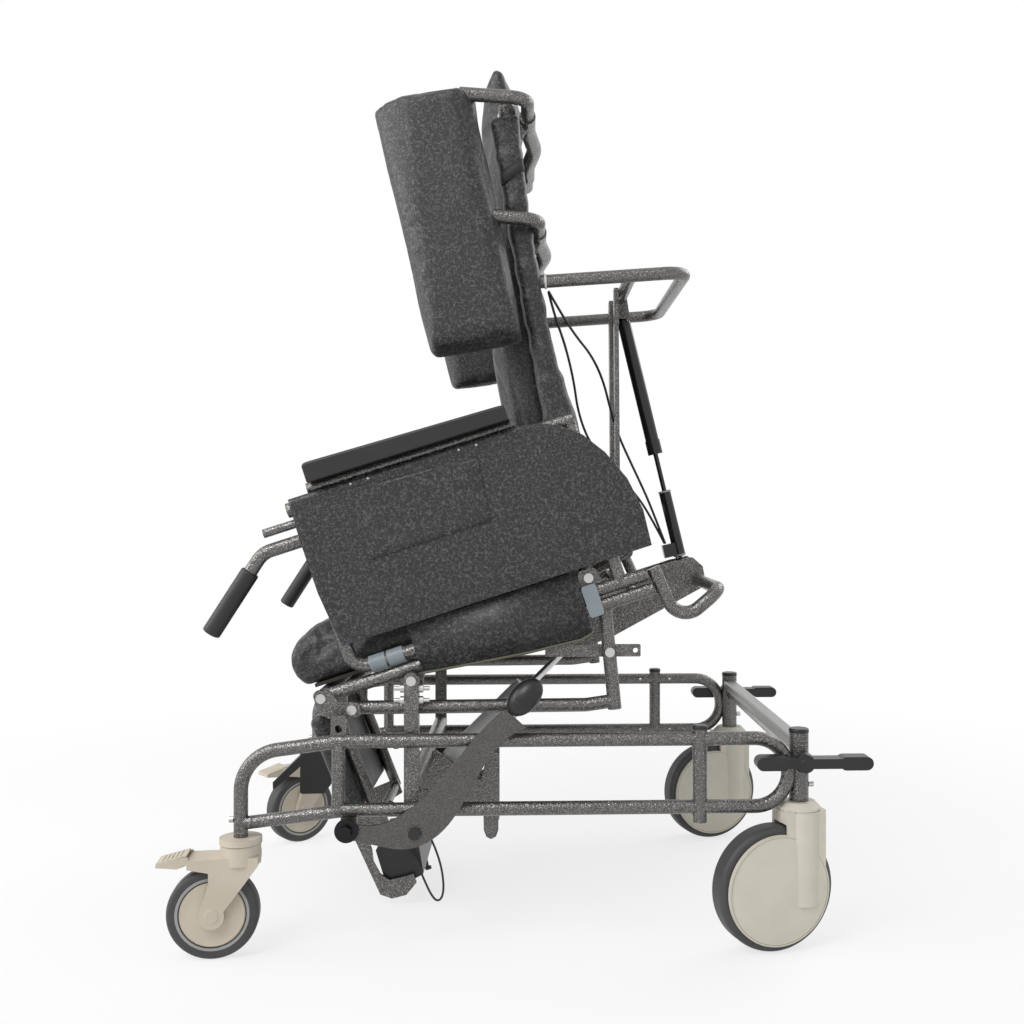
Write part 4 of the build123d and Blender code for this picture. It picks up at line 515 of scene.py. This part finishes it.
stuff(seat_cover, pressure=4.0, cap=0.012, held=seat_under)
ripple(seat_cover, depth=0.002, size=0.07)
CORNER_U, CORNER_Y = 0.262, 0.193
along_seat = Vector((SEAT_AXES[0], 0, SEAT_AXES[1]))
for v in seat_cover.data.vertices:
    into_u = seat_place(v.co)[0] / 1000 - CORNER_U
    into_y = abs(v.co.y) - CORNER_Y
    if into_u > 0 and into_y > 0:
        if into_u < into_y:
            v.co -= along_seat * into_u
        else:
            v.co.y -= math.copysign(into_y, v.co.y)
finer(seat_cover)
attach(seat_cover, "seat")
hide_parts("seat_cushion")

# Back cushion: a long vinyl cover, fullest at the small of the back and slim at the head, where
# it stands above the crossbar as a rounded tip.
BACK_PROFILE = [
    (-18, 64),
    (-60, 66),
    (-74, 112),
    (-74, 360),
    (-47, 560),
    (-32, 716),
    (-17, 763),
    (2, 792),
    (16, 784),
    (20, 724),
    (-17, 706),
]
BACK_HALF_Y = 182
bm = slab_between(back_at, BACK_PROFILE, -BACK_HALF_Y, BACK_HALF_Y)
soften(bm, rim_edges(bm), width=0.014, segments=4)
back_cover = new_piece("back_cover", bm, vinyl)
even_mesh(back_cover, voxel=0.006)


def back_rear(place):
    """True on the flat rear of the back cushion, below its tip."""
    r, h = back_place(place)
    return r > -20 and h < 700


stuff(back_cover, pressure=4.0, cap=0.01, held=back_rear)
ripple(back_cover, depth=0.0022, size=0.09, seed=3.0)
finer(back_cover)
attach(back_cover, "back")
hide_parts("back_cushion")

# Side wings: deep vinyl blocks on two bent tubes. The outer face is flat from a crease near the
# front back to a seam, and the front bevels inwards; the welted seams of the top and foot faces
# are not drawn.
WING_CREASE_TOP = (-152, 736)
WING_CREASE_LOW = (-166, 373)
WING_FRONT_TOP = (-200, 738)
WING_FRONT_LOW = (-173, 356)
WING_REAR_TOP = (-66, 738)
WING_REAR_LOW = (-38, 373)
WING_INNER_TOP = (-44, 738)
WING_INNER_LOW = (-36, 358)
WING_OUTER_Y, WING_FRONT_Y, WING_BEVEL_Y, WING_INNER_Y = 276, 241, 240, 216


def wing_block(side):
    """The wing's hull between its outer face, its front edge and its inner face."""
    bm = bmesh.new()
    for r, h, y in (
        (*WING_CREASE_TOP, WING_OUTER_Y),
        (*WING_CREASE_LOW, WING_OUTER_Y),
        (*WING_REAR_TOP, WING_OUTER_Y),
        (*WING_REAR_LOW, WING_OUTER_Y),
        (*WING_FRONT_TOP, WING_FRONT_Y),
        (*WING_FRONT_LOW, WING_FRONT_Y),
        (WING_FRONT_TOP[0] + 8, WING_FRONT_TOP[1] - 2, WING_INNER_Y),
        (WING_FRONT_LOW[0] + 8, WING_FRONT_LOW[1] + 2, WING_INNER_Y),
        (*WING_INNER_TOP, WING_BEVEL_Y),
        (*WING_INNER_LOW, WING_BEVEL_Y),
        (*WING_INNER_TOP, WING_INNER_Y),
        (*WING_INNER_LOW, WING_INNER_Y),
    ):
        bm.verts.new(back_at(r, side * y, h))
    bmesh.ops.convex_hull(bm, input=bm.verts)
    bmesh.ops.dissolve_limit(bm, angle_limit=0.02, verts=bm.verts, edges=bm.edges)
    soften(bm, bm.edges[:], width=0.006, segments=3)
    return bm


for side, side_name in ((-1, "near"), (1, "far")):
    wing_cover = new_piece(f"wing_cover_{side_name}", wing_block(side), vinyl)
    even_mesh(wing_cover, voxel=0.005)
    stuff(wing_cover, pressure=2.0, cap=0.003)
    ripple(wing_cover, depth=0.0012, size=0.08, seed=5.0)
    finer(wing_cover)
    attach(wing_cover, f"wing_{side_name}")
    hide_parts(f"wing_pad_{side_name}")

# Side skirts: one layer of padded vinyl each side, hung from the arm rest down past the seat
# rail. Its hem is turned and sewn twice, and the lower edge waves a little where it hangs free.
SKIRT_EDGE = [
    (-80, 77),
    (-89, 160),
    (-90, 242),
    (-88, 301),
    (256, 301),
    (286, 296),
    (316, 283),
    (343, 260),
    (366, 226),
    (385, 180),
    (393, 130),
    (389, 77),
]
SKIRT_MIDDLE = 0.287
SKIRT_HALF = 0.0028
SKIRT_SEAMS = (12, 17)
SKIRT_SEAM_DEPTH = 0.0007


def hang_wave(u, w):
    """How far the hung cloth stands out, in metres: none at the top, most at the lower hem."""
    loose = min(1.0, max(0.0, (290 - w) / 200))
    folds = math.sin(u / 41 + 0.6 * math.sin(w / 60)) + 0.6 * math.sin(u / 23 + 1.3)
    return 0.0011 * loose * folds


def edge_gap(edge, u, w):
    """Distance from a point to a closed outline, in millimetres."""
    nearest = 1e9
    for (ax, ay), (bx, by) in zip(edge, edge[1:] + edge[:1]):
        length = (bx - ax) ** 2 + (by - ay) ** 2
        share = min(1, max(0, ((u - ax) * (bx - ax) + (w - ay) * (by - ay)) / length))
        nearest = min(nearest, math.hypot(u - ax - share * (bx - ax), w - ay - share * (by - ay)))
    return nearest


PANEL_GRID = 8


def sewn_panel(edge, side, middle, half, seams, seam_depth):
    """A flat cloth panel with sewn lines near its edge, in its hung shape."""
    bm = slab_between(seat_at, edge, side * 1000 * (middle - half), side * 1000 * (middle + half))
    c, s = SEAT_AXES
    for along, low, high in ((True, -100, 400), (False, 70, 310)):
        normal = (c, 0, s) if along else (-s, 0, c)
        for step in range(int((high - low) / PANEL_GRID)):
            value = low + step * PANEL_GRID
            place = seat_at(value, 0, 0) if along else seat_at(0, 0, value)
            everything = bm.verts[:] + bm.edges[:] + bm.faces[:]
            bmesh.ops.bisect_plane(bm, geom=everything, plane_co=place, plane_no=normal)
    for v in bm.verts:
        u, w = seat_place(v.co)
        gap = edge_gap(edge, u, w)
        outer = 1 if side * v.co.y > middle else -1
        sink = sum(seam_depth * math.exp(-(((gap - seam) / 2.2) ** 2)) for seam in seams)
        thin = 0.45 * half * math.exp(-gap / 2.5)
        v.co.y += side * (hang_wave(u, w) - outer * (sink + thin))
    return bm


def inset_outline(edge, gap):
    """Points on a closed outline moved in by a gap, as (u, w) in millimetres."""
    moved = []
    count = len(edge)
    centre_u = sum(point[0] for point in edge) / count
    centre_w = sum(point[1] for point in edge) / count
    for number in range(count):
        before, here, after = edge[number - 1], edge[number], edge[(number + 1) % count]
        ahead = Vector((after[0] - here[0], after[1] - here[1])).normalized()
        behind = Vector((here[0] - before[0], here[1] - before[1])).normalized()
        normal_a = Vector((-ahead.y, ahead.x))
        normal_b = Vector((-behind.y, behind.x))
        inward = (normal_a + normal_b).normalized()
        if inward.dot(Vector((centre_u - here[0], centre_w - here[1]))) < 0:
            inward = -inward
        reach = gap / max(0.4, inward.dot(normal_a if inward.dot(normal_a) > 0 else -normal_a))
        moved.append((here[0] + inward.x * reach, here[1] + inward.y * reach))
    return moved


thread = moulded("seam_thread", (0.028, 0.028, 0.03), (0.045, 0.045, 0.047), 0.6)
STITCH_PITCH = 5
STITCH_STRETCH = (1.7, 0.6, 0.6)
POCKET_EDGE = [(-5, 182), (-5, 289), (189, 276), (179, 182)]
POCKET_SEAM = 5
POCKET_HALF = 0.0009
for side, side_name in ((-1, "near"), (1, "far")):
    panel = sewn_panel(
        SKIRT_EDGE, side, SKIRT_MIDDLE, SKIRT_HALF, SKIRT_SEAMS, SKIRT_SEAM_DEPTH
    )
    skirt = new_piece(f"skirt_{side_name}", panel, vinyl)
    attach(skirt, "seat")
    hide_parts("seat_skirts")

    # Patch pocket: a second layer sewn flat to the skirt's outer face, open along its top.
    patch_middle = SKIRT_MIDDLE + SKIRT_HALF + 0.0007
    patch_bm = sewn_panel(
        POCKET_EDGE, side, patch_middle, POCKET_HALF, (POCKET_SEAM,), seam_depth=0.0004
    )
    patch = new_piece(f"skirt_pocket_{side_name}", patch_bm, vinyl)
    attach(patch, "seat")

    bm = bmesh.new()
    skirt_face = SKIRT_MIDDLE + SKIRT_HALF - 0.0004
    for edge, gap, face_y in (
        (SKIRT_EDGE, SKIRT_SEAMS[0], skirt_face),
        (SKIRT_EDGE, SKIRT_SEAMS[1], skirt_face),
        (POCKET_EDGE, POCKET_SEAM, patch_middle + 0.0007),
    ):
        line = inset_outline(edge, gap)
        path = [Vector((u, w, 0)) for u, w in line + line[:1]]

        def on_face(place, face_y=face_y):
            """A stitch's place on the waving cloth."""
            there = seat_at(place.x, 0, place.y)
            there.y = side * (face_y + hang_wave(place.x, place.y))
            return there

        for start, end in zip(path, path[1:]):
            count = int((end - start).length / STITCH_PITCH)
            for number in range(count):
                place = on_face(start.lerp(end, (number + 0.5) / count))
                ahead = on_face(end) - on_face(start)
                turn = ahead.to_track_quat("X", "Y").to_matrix().to_4x4()
                stretch = Matrix.Diagonal((*STITCH_STRETCH, 1))
                shape = Matrix.Translation(place) @ turn @ stretch
                bmesh.ops.create_icosphere(bm, subdivisions=1, radius=0.001, matrix=shape)
    stitches = new_piece(f"skirt_stitches_{side_name}", bm, thread)
    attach(stitches, "seat")

# Seat side: the cushion cover is carried down outside the rail each side as a flat band, with
# an olive piping along its lower edge.
BAND_EDGE = [(16, 74), (18, 4), (100, -7), (173, -16), (250, -22), (268, -18), (272, 74)]
olive_piping = moulded("olive_piping", (0.075, 0.072, 0.04), (0.1, 0.096, 0.055), 0.5)


def tube_mesh(name, points, radius, material):
    """A round bead along places, as a mesh."""
    line = bpy.data.curves.new(name, "CURVE")
    line.dimensions = "3D"
    line.bevel_depth = radius
    line.bevel_resolution = 3
    line.use_fill_caps = True
    spline = line.splines.new("POLY")
    spline.points.add(len(points) - 1)
    for point, place in zip(spline.points, points):
        point.co = (*place, 1)
    holder = bpy.data.objects.new(name, line)
    bpy.context.scene.collection.objects.link(holder)
    mesh = bpy.data.meshes.new_from_object(holder)
    bpy.data.objects.remove(holder)
    mesh.materials.clear()
    mesh.materials.append(material)
    for face in mesh.polygons:
        face.use_smooth = True
    piece = bpy.data.objects.new(name, mesh)
    bpy.context.scene.collection.objects.link(piece)
    return piece


BAND_INNER_Y, BAND_OUTER_Y, PIPING_Y = 279.5, 282.5, 281.5
for side, side_name in ((-1, "near"), (1, "far")):
    bm = slab_between(seat_at, BAND_EDGE, side * BAND_INNER_Y, side * BAND_OUTER_Y)
    band = new_piece(f"seat_side_band_{side_name}", bm, vinyl)
    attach(band, "seat")
    bead = tube_mesh(
        f"seat_side_piping_{side_name}",
        [seat_at(u, side * PIPING_Y, w) for u, w in BAND_EDGE[1:6]],
        radius=0.002,
        material=olive_piping,
    )
    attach(bead, "seat")

# Back post covers: soft padded sleeves laced round the two back posts. The cloth is slack, so it
# wrinkles across, and a black web strap is drawn round each one below the wing's upper arm.
COVER_EDGE = [
    (-22, 62),
    (28, 62),
    (27, 226),
    (9, 340),
    (5, 433),
    (6, 576),
    (15, 700),
    (-28, 700),
    (-25, 400),
]
web_black = moulded("web_black", (0.01, 0.01, 0.011), (0.018, 0.018, 0.019), 0.65, 500.0, 0.5)
cap_silver = bright_metal("cap_silver", (0.66, 0.66, 0.65), 0.28)


COVER_INNER_Y, COVER_OUTER_Y = 192, 229
STRAP_R, STRAP_Y, STRAP_H = -8, 210.5, 606
STRAP_HALF_R, STRAP_HALF_Y = 19.5, 20.5
STRAP_SLOPE, STRAP_WIDTH = 0.45, 19
for side, side_name in ((-1, "near"), (1, "far")):
    bm = slab_between(back_at, COVER_EDGE, side * COVER_INNER_Y, side * COVER_OUTER_Y)
    soften(bm, bm.edges[:], width=0.009, segments=4)
    sleeve = new_piece(f"post_cover_{side_name}", bm, vinyl)
    even_mesh(sleeve, voxel=0.0045)
    stuff(sleeve, pressure=2.5, cap=0.002)
    normals = [v.normal.copy() for v in sleeve.data.vertices]
    for v, normal in zip(sleeve.data.vertices, normals):
        r, h = back_place(v.co)
        lift = noise.noise(Vector((r / 40, h / 16, side * 3.0)))
        crease = math.sin(h / 9 + 3.0 * noise.noise(Vector((r / 30, h / 60, side * 2.0))))
        v.co += normal * (0.0013 * lift + 0.0009 * crease)
    finer(sleeve)
    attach(sleeve, "back")
    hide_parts("back_post_covers")

    strap_bm = bmesh.new()
    ring = bmesh.ops.create_circle(strap_bm, segments=40, radius=1.0)["verts"]
    for v in ring:
        x, y = v.co.x, v.co.y
        flat = (abs(x) ** 4 + abs(y) ** 4) ** 0.25
        r = STRAP_R + STRAP_HALF_R * x / flat
        strap_y = side * (STRAP_Y + STRAP_HALF_Y * y / flat)
        v.co = back_at(r, strap_y, STRAP_H + STRAP_SLOPE * (r - STRAP_R))
    rims = list({e for v in ring for e in v.link_edges})
    grown = bmesh.ops.extrude_edge_only(strap_bm, edges=rims)
    up = back_at(0, 0, STRAP_WIDTH) - back_at(0, 0, 0)
    moved = [part for part in grown["geom"] if isinstance(part, bmesh.types.BMVert)]
    bmesh.ops.translate(strap_bm, verts=moved, vec=up)
    strap = new_piece(f"post_strap_{side_name}", strap_bm, web_black)
    wall = strap.modifiers.new("wall", "SOLIDIFY")
    wall.thickness = 0.0016
    apply_modifiers(strap)
    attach(strap, "back")

# Calf pad: a firm vinyl pad on the leg rest bars; the flap turned over its top edge is not drawn.
CALF_LINE = [(33, 32), (60, 32), (60, 202), (33, 202)]
CALF_HALF_Y = 161
bm = slab_between(leg_at, CALF_LINE, -CALF_HALF_Y, CALF_HALF_Y)
soften(bm, bm.edges[:], width=0.009, segments=3)
calf_cover = new_piece("calf_cover", bm, vinyl)
even_mesh(calf_cover, voxel=0.006)
stuff(calf_cover, pressure=3.0, cap=0.003)
ripple(calf_cover, depth=0.0012, size=0.05, seed=9.0)
finer(calf_cover)
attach(calf_cover, "leg_rest")
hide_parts("calf_pad")

# Arm pads: moulded black foam on a flat bar, with a wide chamfer round the top.
ARM_PAD_LINE = [(-52, 314), (-52, 341), (-46, 343), (242, 335), (248, 333), (248, 312)]
ARM_PAD_INNER_Y, ARM_PAD_OUTER_Y = 251, 309
ARM_PAD_SHOULDER = 326
for side, side_name in ((-1, "near"), (1, "far")):
    bm = slab_between(seat_at, ARM_PAD_LINE, side * ARM_PAD_INNER_Y, side * ARM_PAD_OUTER_Y)
    high = {v for v in bm.verts if seat_place(v.co)[1] > ARM_PAD_SHOULDER}
    top_edges = [edge for edge in bm.edges if high.issuperset(edge.verts)]
    soften(bm, top_edges, width=0.0045, segments=3)
    sharp = [e for e in bm.edges if len(e.link_faces) == 2 and e.calc_face_angle(0) > 0.7]
    soften(bm, sharp, width=0.0018, segments=2)
    arm_cover = new_piece(f"arm_rest_pad_{side_name}", bm, pad_vinyl, smooth=False)
    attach(arm_cover, "seat")
    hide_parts("arm_pads")

# Turned and bolted fittings: the small round things that finish the frame. The wheels come first,
# each with a grey tread ring, a black line and a beige hub disc pressed into the tyre.


def turned_into(bm, place, axis, profile, steps=40, squash=(1, 1, 1)):
    """Add a turned shape: (radius, distance along the axis) pairs, in millimetres."""
    local = bmesh.new()
    corners = [local.verts.new((radius / 1000, 0, along / 1000)) for radius, along in profile]
    line = [local.edges.new(pair) for pair in zip(corners, corners[1:])]
    bmesh.ops.spin(
        local,
        geom=corners + line,
        cent=(0, 0, 0),
        axis=(0, 0, 1),
        angle=2 * math.pi,
        steps=steps,
        use_merge=True,
        use_duplicate=False,
    )
    bmesh.ops.remove_doubles(local, verts=local.verts, dist=1e-6)
    turn = Vector(axis).to_track_quat("Z", "Y").to_matrix().to_4x4()
    where = Matrix.Translation(Vector(place) / 1000) @ Matrix.Diagonal((*squash, 1)) @ turn
    bmesh.ops.transform(local, matrix=where, verts=local.verts)
    bmesh.ops.recalc_face_normals(local, faces=local.faces)
    mesh = bpy.data.meshes.new("turned")
    local.to_mesh(mesh)
    local.free()
    bm.from_mesh(mesh)
    bpy.data.meshes.remove(mesh)


def fitting(name, shapes, material, body):
    """One piece made of turned shapes on one body."""
    bm = bmesh.new()
    for shape in shapes:
        turned_into(bm, *shape)
    piece = new_piece(name, bm, material)
    smooth_by_angle(piece)
    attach(piece, body)
    return piece


def smooth_by_angle(piece):
    """Smooth shading that keeps the crisp edges of a turned fitting."""
    bm = bmesh.new()
    bm.from_mesh(piece.data)
    for edge in bm.edges:
        edge.smooth = len(edge.link_faces) == 2 and edge.calc_face_angle(0) < 0.6
    bm.to_mesh(piece.data)
    bm.free()


def both_faces(centre, turn, profile):
    """The same turned shape on both sides of an upright wheel."""
    c, s = turn
    return [(centre, way, profile) for way in ((-s, c, 0), (s, -c, 0))]


ring_grey = moulded("ring_grey", (0.3, 0.3, 0.295), (0.36, 0.36, 0.35), 0.45)
line_black = moulded("line_black", (0.012, 0.012, 0.012), (0.02, 0.02, 0.02), 0.5)
TREAD_RING = [(47.2, 13.6), (47.2, 14.9), (50.6, 15.2), (51.8, 14.4), (51.8, 13.6), (47.2, 13.6)]
WHEEL_LINE = [(45.4, 13.6), (45.4, 14.5), (46.9, 14.5), (46.9, 13.6), (45.4, 13.6)]
HUB_DISC = [(6, 13.8), (6, 15.6), (16, 15.6), (19, 14.8), (40, 14.6), (44, 15.2), (45, 13.8)]
HUB_DISC.append(HUB_DISC[0])
AXLE_BOSS = [(0, 24.8), (0, 26.2), (8.6, 26.2), (9.6, 25.4), (11.4, 25.4), (12, 24.8), (0, 24.8)]
FRONT_STEM_X, FRONT_TRAIL, FRONT_AXLE_Z = -391, 37, 63.5
FRONT_TURNS = {"near": (6, -305), "far": (38, 305)}
for side_name, (degrees, stem_y) in FRONT_TURNS.items():
    c, s = leaning(degrees)
    centre = (FRONT_STEM_X - FRONT_TRAIL * c, stem_y - FRONT_TRAIL * s, FRONT_AXLE_Z)
    wheel = f"front_wheel_{side_name}"
    caster = f"front_caster_{side_name}"
    for name, profile, finish, body, slot in (
        ("front_wheel_ring", TREAD_RING, ring_grey, wheel, "caster_tyre"),
        ("front_wheel_line", WHEEL_LINE, line_black, wheel, "caster_tyre"),
        ("front_wheel_disc", HUB_DISC, caster_front, wheel, "caster_plastic"),
        ("front_axle_boss", AXLE_BOSS, caster_front, caster, "caster_plastic"),
    ):
        shapes = both_faces(centre, (c, s), profile)
        fitting(f"{name}_{side_name}", shapes, finish, body)

# Rear caster covers: a shallow domed cream disc each side, with a fine moulded seam round it,
# whose darker cream is painted shade.
seam_painted_shade = moulded("cover_seam_painted_shade", (0.3, 0.285, 0.23), (0.34, 0.325, 0.27), 0.5)
COVER_DOME = [(0, 24.6), (0, 27.2), (30, 27.0), (55, 26.4), (68, 25.8), (74, 24.6), (0, 24.6)]
COVER_SEAM = [(75.6, 24.7), (75.6, 25.2), (76.3, 25.2), (76.3, 24.7), (75.6, 24.7)]
REAR_STEM_X, REAR_STEM_Y, REAR_TRAIL, REAR_AXLE_Z = 406.5, 297, 43, 89
c, s = leaning(16)
for side, side_name in ((-1, "near"), (1, "far")):
    centre = (REAR_STEM_X - REAR_TRAIL * c, side * REAR_STEM_Y - REAR_TRAIL * s, REAR_AXLE_Z)
    caster = f"rear_caster_{side_name}"
    for name, profile, finish in (
        ("rear_cover_dome", COVER_DOME, caster_rear),
        # the seam ring is real, its darker colour is painted shade
        ("rear_seam_ring_painted_shade", COVER_SEAM, seam_painted_shade),
    ):
        shapes = both_faces(centre, (c, s), profile)
        fitting(f"{name}_{side_name}", shapes, finish, caster)

# Central lock pedals: black moulded bars on a round hub. Each end swells into a pad, with a red
# mark on the front pad and a green one on the rear pad.
red_mark = moulded("red_mark", (0.42, 0.03, 0.02), (0.5, 0.045, 0.03), 0.4)
green_mark = moulded("green_mark", (0.03, 0.2, 0.07), (0.045, 0.26, 0.09), 0.4)
PEDAL_HUB = [(0, -15), (6, -14), (11, -10.5), (14, -6), (15, 0), (14, 6), (11, 10.5), (6, 14)]
PEDAL_HUB.append((0, 15))
PEDAL_PAD = [(0, -21), (5, -18), (7.6, -11), (8.4, 0), (7.6, 11), (5, 18), (0, 21)]
PEDAL_MARK = [(0, 0), (3.6, 0), (3.2, 0.7), (0, 1.0)]
PEDAL_Y, PEDAL_Z, MARK_Z = 330, 271, 278.6
for side, side_name in ((-1, "near"), (1, "far")):
    shapes = [((REAR_STEM_X, side * PEDAL_Y, PEDAL_Z), (0, 1, 0), PEDAL_HUB)]
    for pad_x in (360, 480):
        shapes.append(((pad_x, side * PEDAL_Y, PEDAL_Z), (1, 0, 0), PEDAL_PAD, 32, (1, 1.5, 1)))
    fitting(f"lock_pedal_pads_{side_name}", shapes, black_plastic, "lock")
    for name, mark_x, finish in (("red", 352, red_mark), ("green", 488, green_mark)):
        shapes = [((mark_x, side * PEDAL_Y, MARK_Z), (0, 0, 1), PEDAL_MARK, 24, (1.9, 1, 1))]
        fitting(f"lock_mark_{name}_{side_name}", shapes, finish, "lock")

# Side lever fittings: a black hex bolt in the pivot, and a moulding seam round the oval knob.
black_steel = bright_metal("black_steel", (0.03, 0.03, 0.032), 0.38)
dress(black_steel, "side_lever_bolt")
HEX_PLACE, HEX_RADIUS, HEX_DEPTH = (-0.239, -0.3375, 0.1805), 0.0088, 0.006
bm = bmesh.new()
bmesh.ops.create_cone(
    bm,
    cap_ends=True,
    segments=6,
    radius1=HEX_RADIUS,
    radius2=HEX_RADIUS,
    depth=HEX_DEPTH,
    matrix=Matrix.Translation(HEX_PLACE) @ Matrix.Rotation(math.radians(90), 4, "X"),
)
soften(bm, bm.edges[:], width=0.0006, segments=2)
hex_head = new_piece("side_lever_hex", bm, black_steel, smooth=False)
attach(hex_head, "side_lever")
KNOB_MIDDLE, SEAM_DROP = (10.6, -325, 365), 11
c, s = leaning(48)
knob_way = (c, 0, s)
seam_spot = [middle - SEAM_DROP * way for middle, way in zip(KNOB_MIDDLE, knob_way)]
seam_ring = [(18.2, -0.8), (18.9, -0.8), (18.9, 0.8), (18.2, 0.8), (18.2, -0.8)]
shapes = [(seam_spot, knob_way, seam_ring)]
fitting("side_lever_knob_seam", shapes, line_black, "side_lever")

# Recline spring fittings: a pale ring at each end of the rod's sleeve and a bright release head.
RECLINE_TOP = Vector((173.5, 0, 959))
RECLINE_LOW = Vector((276, 0, 534.7))
SLEEVE_RINGS, HEAD_REACH = (307, 417), 22
down = (RECLINE_LOW - RECLINE_TOP).normalized()
pale_ring = [(9.6, -1.6), (10.7, -1.2), (10.7, 1.2), (9.6, 1.6), (9.6, -1.6)]
ring_spots = [(RECLINE_TOP + reach * down, down, pale_ring) for reach in SLEEVE_RINGS]
fitting("recline_sleeve_rings", ring_spots, ring_grey, "recline_rod")
head_shape = [(0, -7), (7.5, -7), (8.5, -5), (8.5, 5), (7.5, 7), (0, 7)]
spot = [(RECLINE_LOW - HEAD_REACH * down, down, head_shape)]
fitting("recline_release_head", spot, zinc, "recline_rod")

# Back post caps: bright domed plugs in the tops of the back posts, standing out of the covers.
dome = [(0, -4), (11, -4), (11, 1.5), (9.6, 5.5), (6, 8.6), (0, 10)]
cap_up = back_at(0, 0, 1) - back_at(0, 0, 0)
CAP_R, CAP_Y, CAP_H = -4, 211, 704
caps = [(1000 * back_at(CAP_R, side * CAP_Y, CAP_H), cap_up, dome) for side in (-1, 1)]
fitting("back_post_caps", caps, cap_silver, "back")

# Skirt screws: small domed screws that hold each skirt to the arm frame under the arm pad.
screw = [(0, 1.8), (1.3, 1.5), (2.2, 0.5), (2.3, -1.5), (0, -1.5)]
SCREW_SPOTS, SCREW_Y = ((4, 295), (30, 295), (166, 294), (192, 293)), 290.4
shapes = []
for side in (-1, 1):
    for u, w in SCREW_SPOTS:
        face = seat_at(u, side * SCREW_Y, w) * 1000
        shapes.append((face, (0, side, 0), screw, 20))
fitting("skirt_screws", shapes, zinc, "seat")

# Cable tie: a white plastic band that holds the two release cables up against the push bar.
tie_white = moulded("tie_white", (0.68, 0.68, 0.67), (0.76, 0.76, 0.75), 0.4)
tie = [(10.3, -1.7), (11.7, -1.5), (11.9, 0), (11.7, 1.5), (10.3, 1.7), (10.3, -1.7)]
TIE_PLACE, PUSH_BAR_WAY = (41, -202, 975.9), (233, 0, 17.5)
tie_spots = [(TIE_PLACE, PUSH_BAR_WAY, tie, 36)]
fitting("push_bar_cable_tie", tie_spots, tie_white, "back")

# Floor and light: a pale sheet that runs on to the horizon, three large soft lamps and an even
# white room. The floor glows white to the camera, and less so near the chair, where its shadow
# shows.
bpy.ops.mesh.primitive_plane_add(size=60)
floor = bpy.context.object
floor.name = "floor"
floor_paint, tree, shader = new_material("floor_paint")
shader.inputs["Base Color"].default_value = (0.86, 0.86, 0.865, 1)
shader.inputs["Roughness"].default_value = 0.7
glow = tree.nodes.new("ShaderNodeEmission")
glow.inputs["Color"].default_value = (1, 1, 1, 1)


def seen_directly(tree):
    """One for camera, mirror and glass rays, and nothing for the light on the object."""
    rays = tree.nodes.new("ShaderNodeLightPath")
    total = rays.outputs["Is Camera Ray"]
    for kind in ("Is Glossy Ray", "Is Transmission Ray"):
        step = tree.nodes.new("ShaderNodeMath")
        step.operation = "ADD"
        step.use_clamp = True
        tree.links.new(total, step.inputs[0])
        tree.links.new(rays.outputs[kind], step.inputs[1])
        total = step.outputs["Value"]
    return total


NEAR_GLOW = 0.72
where = tree.nodes.new("ShaderNodeTexCoord")
reach = tree.nodes.new("ShaderNodeVectorMath")
reach.operation = "LENGTH"
tree.links.new(where.outputs["Object"], reach.inputs[0])
fade = tree.nodes.new("ShaderNodeMapRange")
fade.interpolation_type = "SMOOTHSTEP"
fade.inputs["From Min"].default_value = 0.9
fade.inputs["From Max"].default_value = 2.2
fade.inputs["To Min"].default_value = NEAR_GLOW
fade.inputs["To Max"].default_value = 1.0
tree.links.new(reach.outputs["Value"], fade.inputs["Value"])
share = tree.nodes.new("ShaderNodeMath")
share.operation = "MULTIPLY"
tree.links.new(seen_directly(tree), share.inputs[0])
tree.links.new(fade.outputs["Result"], share.inputs[1])
mix = tree.nodes.new("ShaderNodeMixShader")
tree.links.new(share.outputs["Value"], mix.inputs["Fac"])
tree.links.new(shader.outputs["BSDF"], mix.inputs[1])
tree.links.new(glow.outputs["Emission"], mix.inputs[2])
tree.links.new(mix.outputs["Shader"], tree.nodes["Material Output"].inputs["Surface"])
floor.data.materials.append(floor_paint)

world = bpy.data.worlds.new("room")
bpy.context.scene.world = world
world.use_nodes = True
room_tree = world.node_tree
room_light = room_tree.nodes["Background"]
room_light.inputs["Color"].default_value = (1, 1, 1, 1)
room_light.inputs["Strength"].default_value = 0.55
room_seen = room_tree.nodes.new("ShaderNodeBackground")
room_seen.inputs["Color"].default_value = (1, 1, 1, 1)
room_seen.inputs["Strength"].default_value = 1.0
room_mix = room_tree.nodes.new("ShaderNodeMixShader")
room_tree.links.new(seen_directly(room_tree), room_mix.inputs["Fac"])
room_tree.links.new(room_light.outputs["Background"], room_mix.inputs[1])
room_tree.links.new(room_seen.outputs["Background"], room_mix.inputs[2])
room_tree.links.new(room_mix.outputs["Shader"], room_tree.nodes["World Output"].inputs["Surface"])


def softbox(name, place, aim, size, power):
    """A square area lamp turned to a point."""
    light = bpy.data.lights.new(name, "AREA")
    light.shape = "SQUARE"
    light.size = size
    light.energy = power
    lamp = bpy.data.objects.new(name, light)
    lamp.location = place
    lamp.rotation_euler = (Vector(aim) - Vector(place)).to_track_quat("-Z", "Y").to_euler()
    bpy.context.scene.collection.objects.link(lamp)


softbox("key_lamp", (-1.6, -2.2, 2.9), aim=(0, 0, 0.7), size=1.8, power=62)
softbox("front_lamp", (-3.0, -0.4, 1.6), aim=(0, 0, 0.6), size=1.6, power=34)
softbox("back_lamp", (2.2, 1.4, 2.4), aim=(0, 0, 0.7), size=1.6, power=26)

bpy.context.scene.view_settings.view_transform = "Standard"
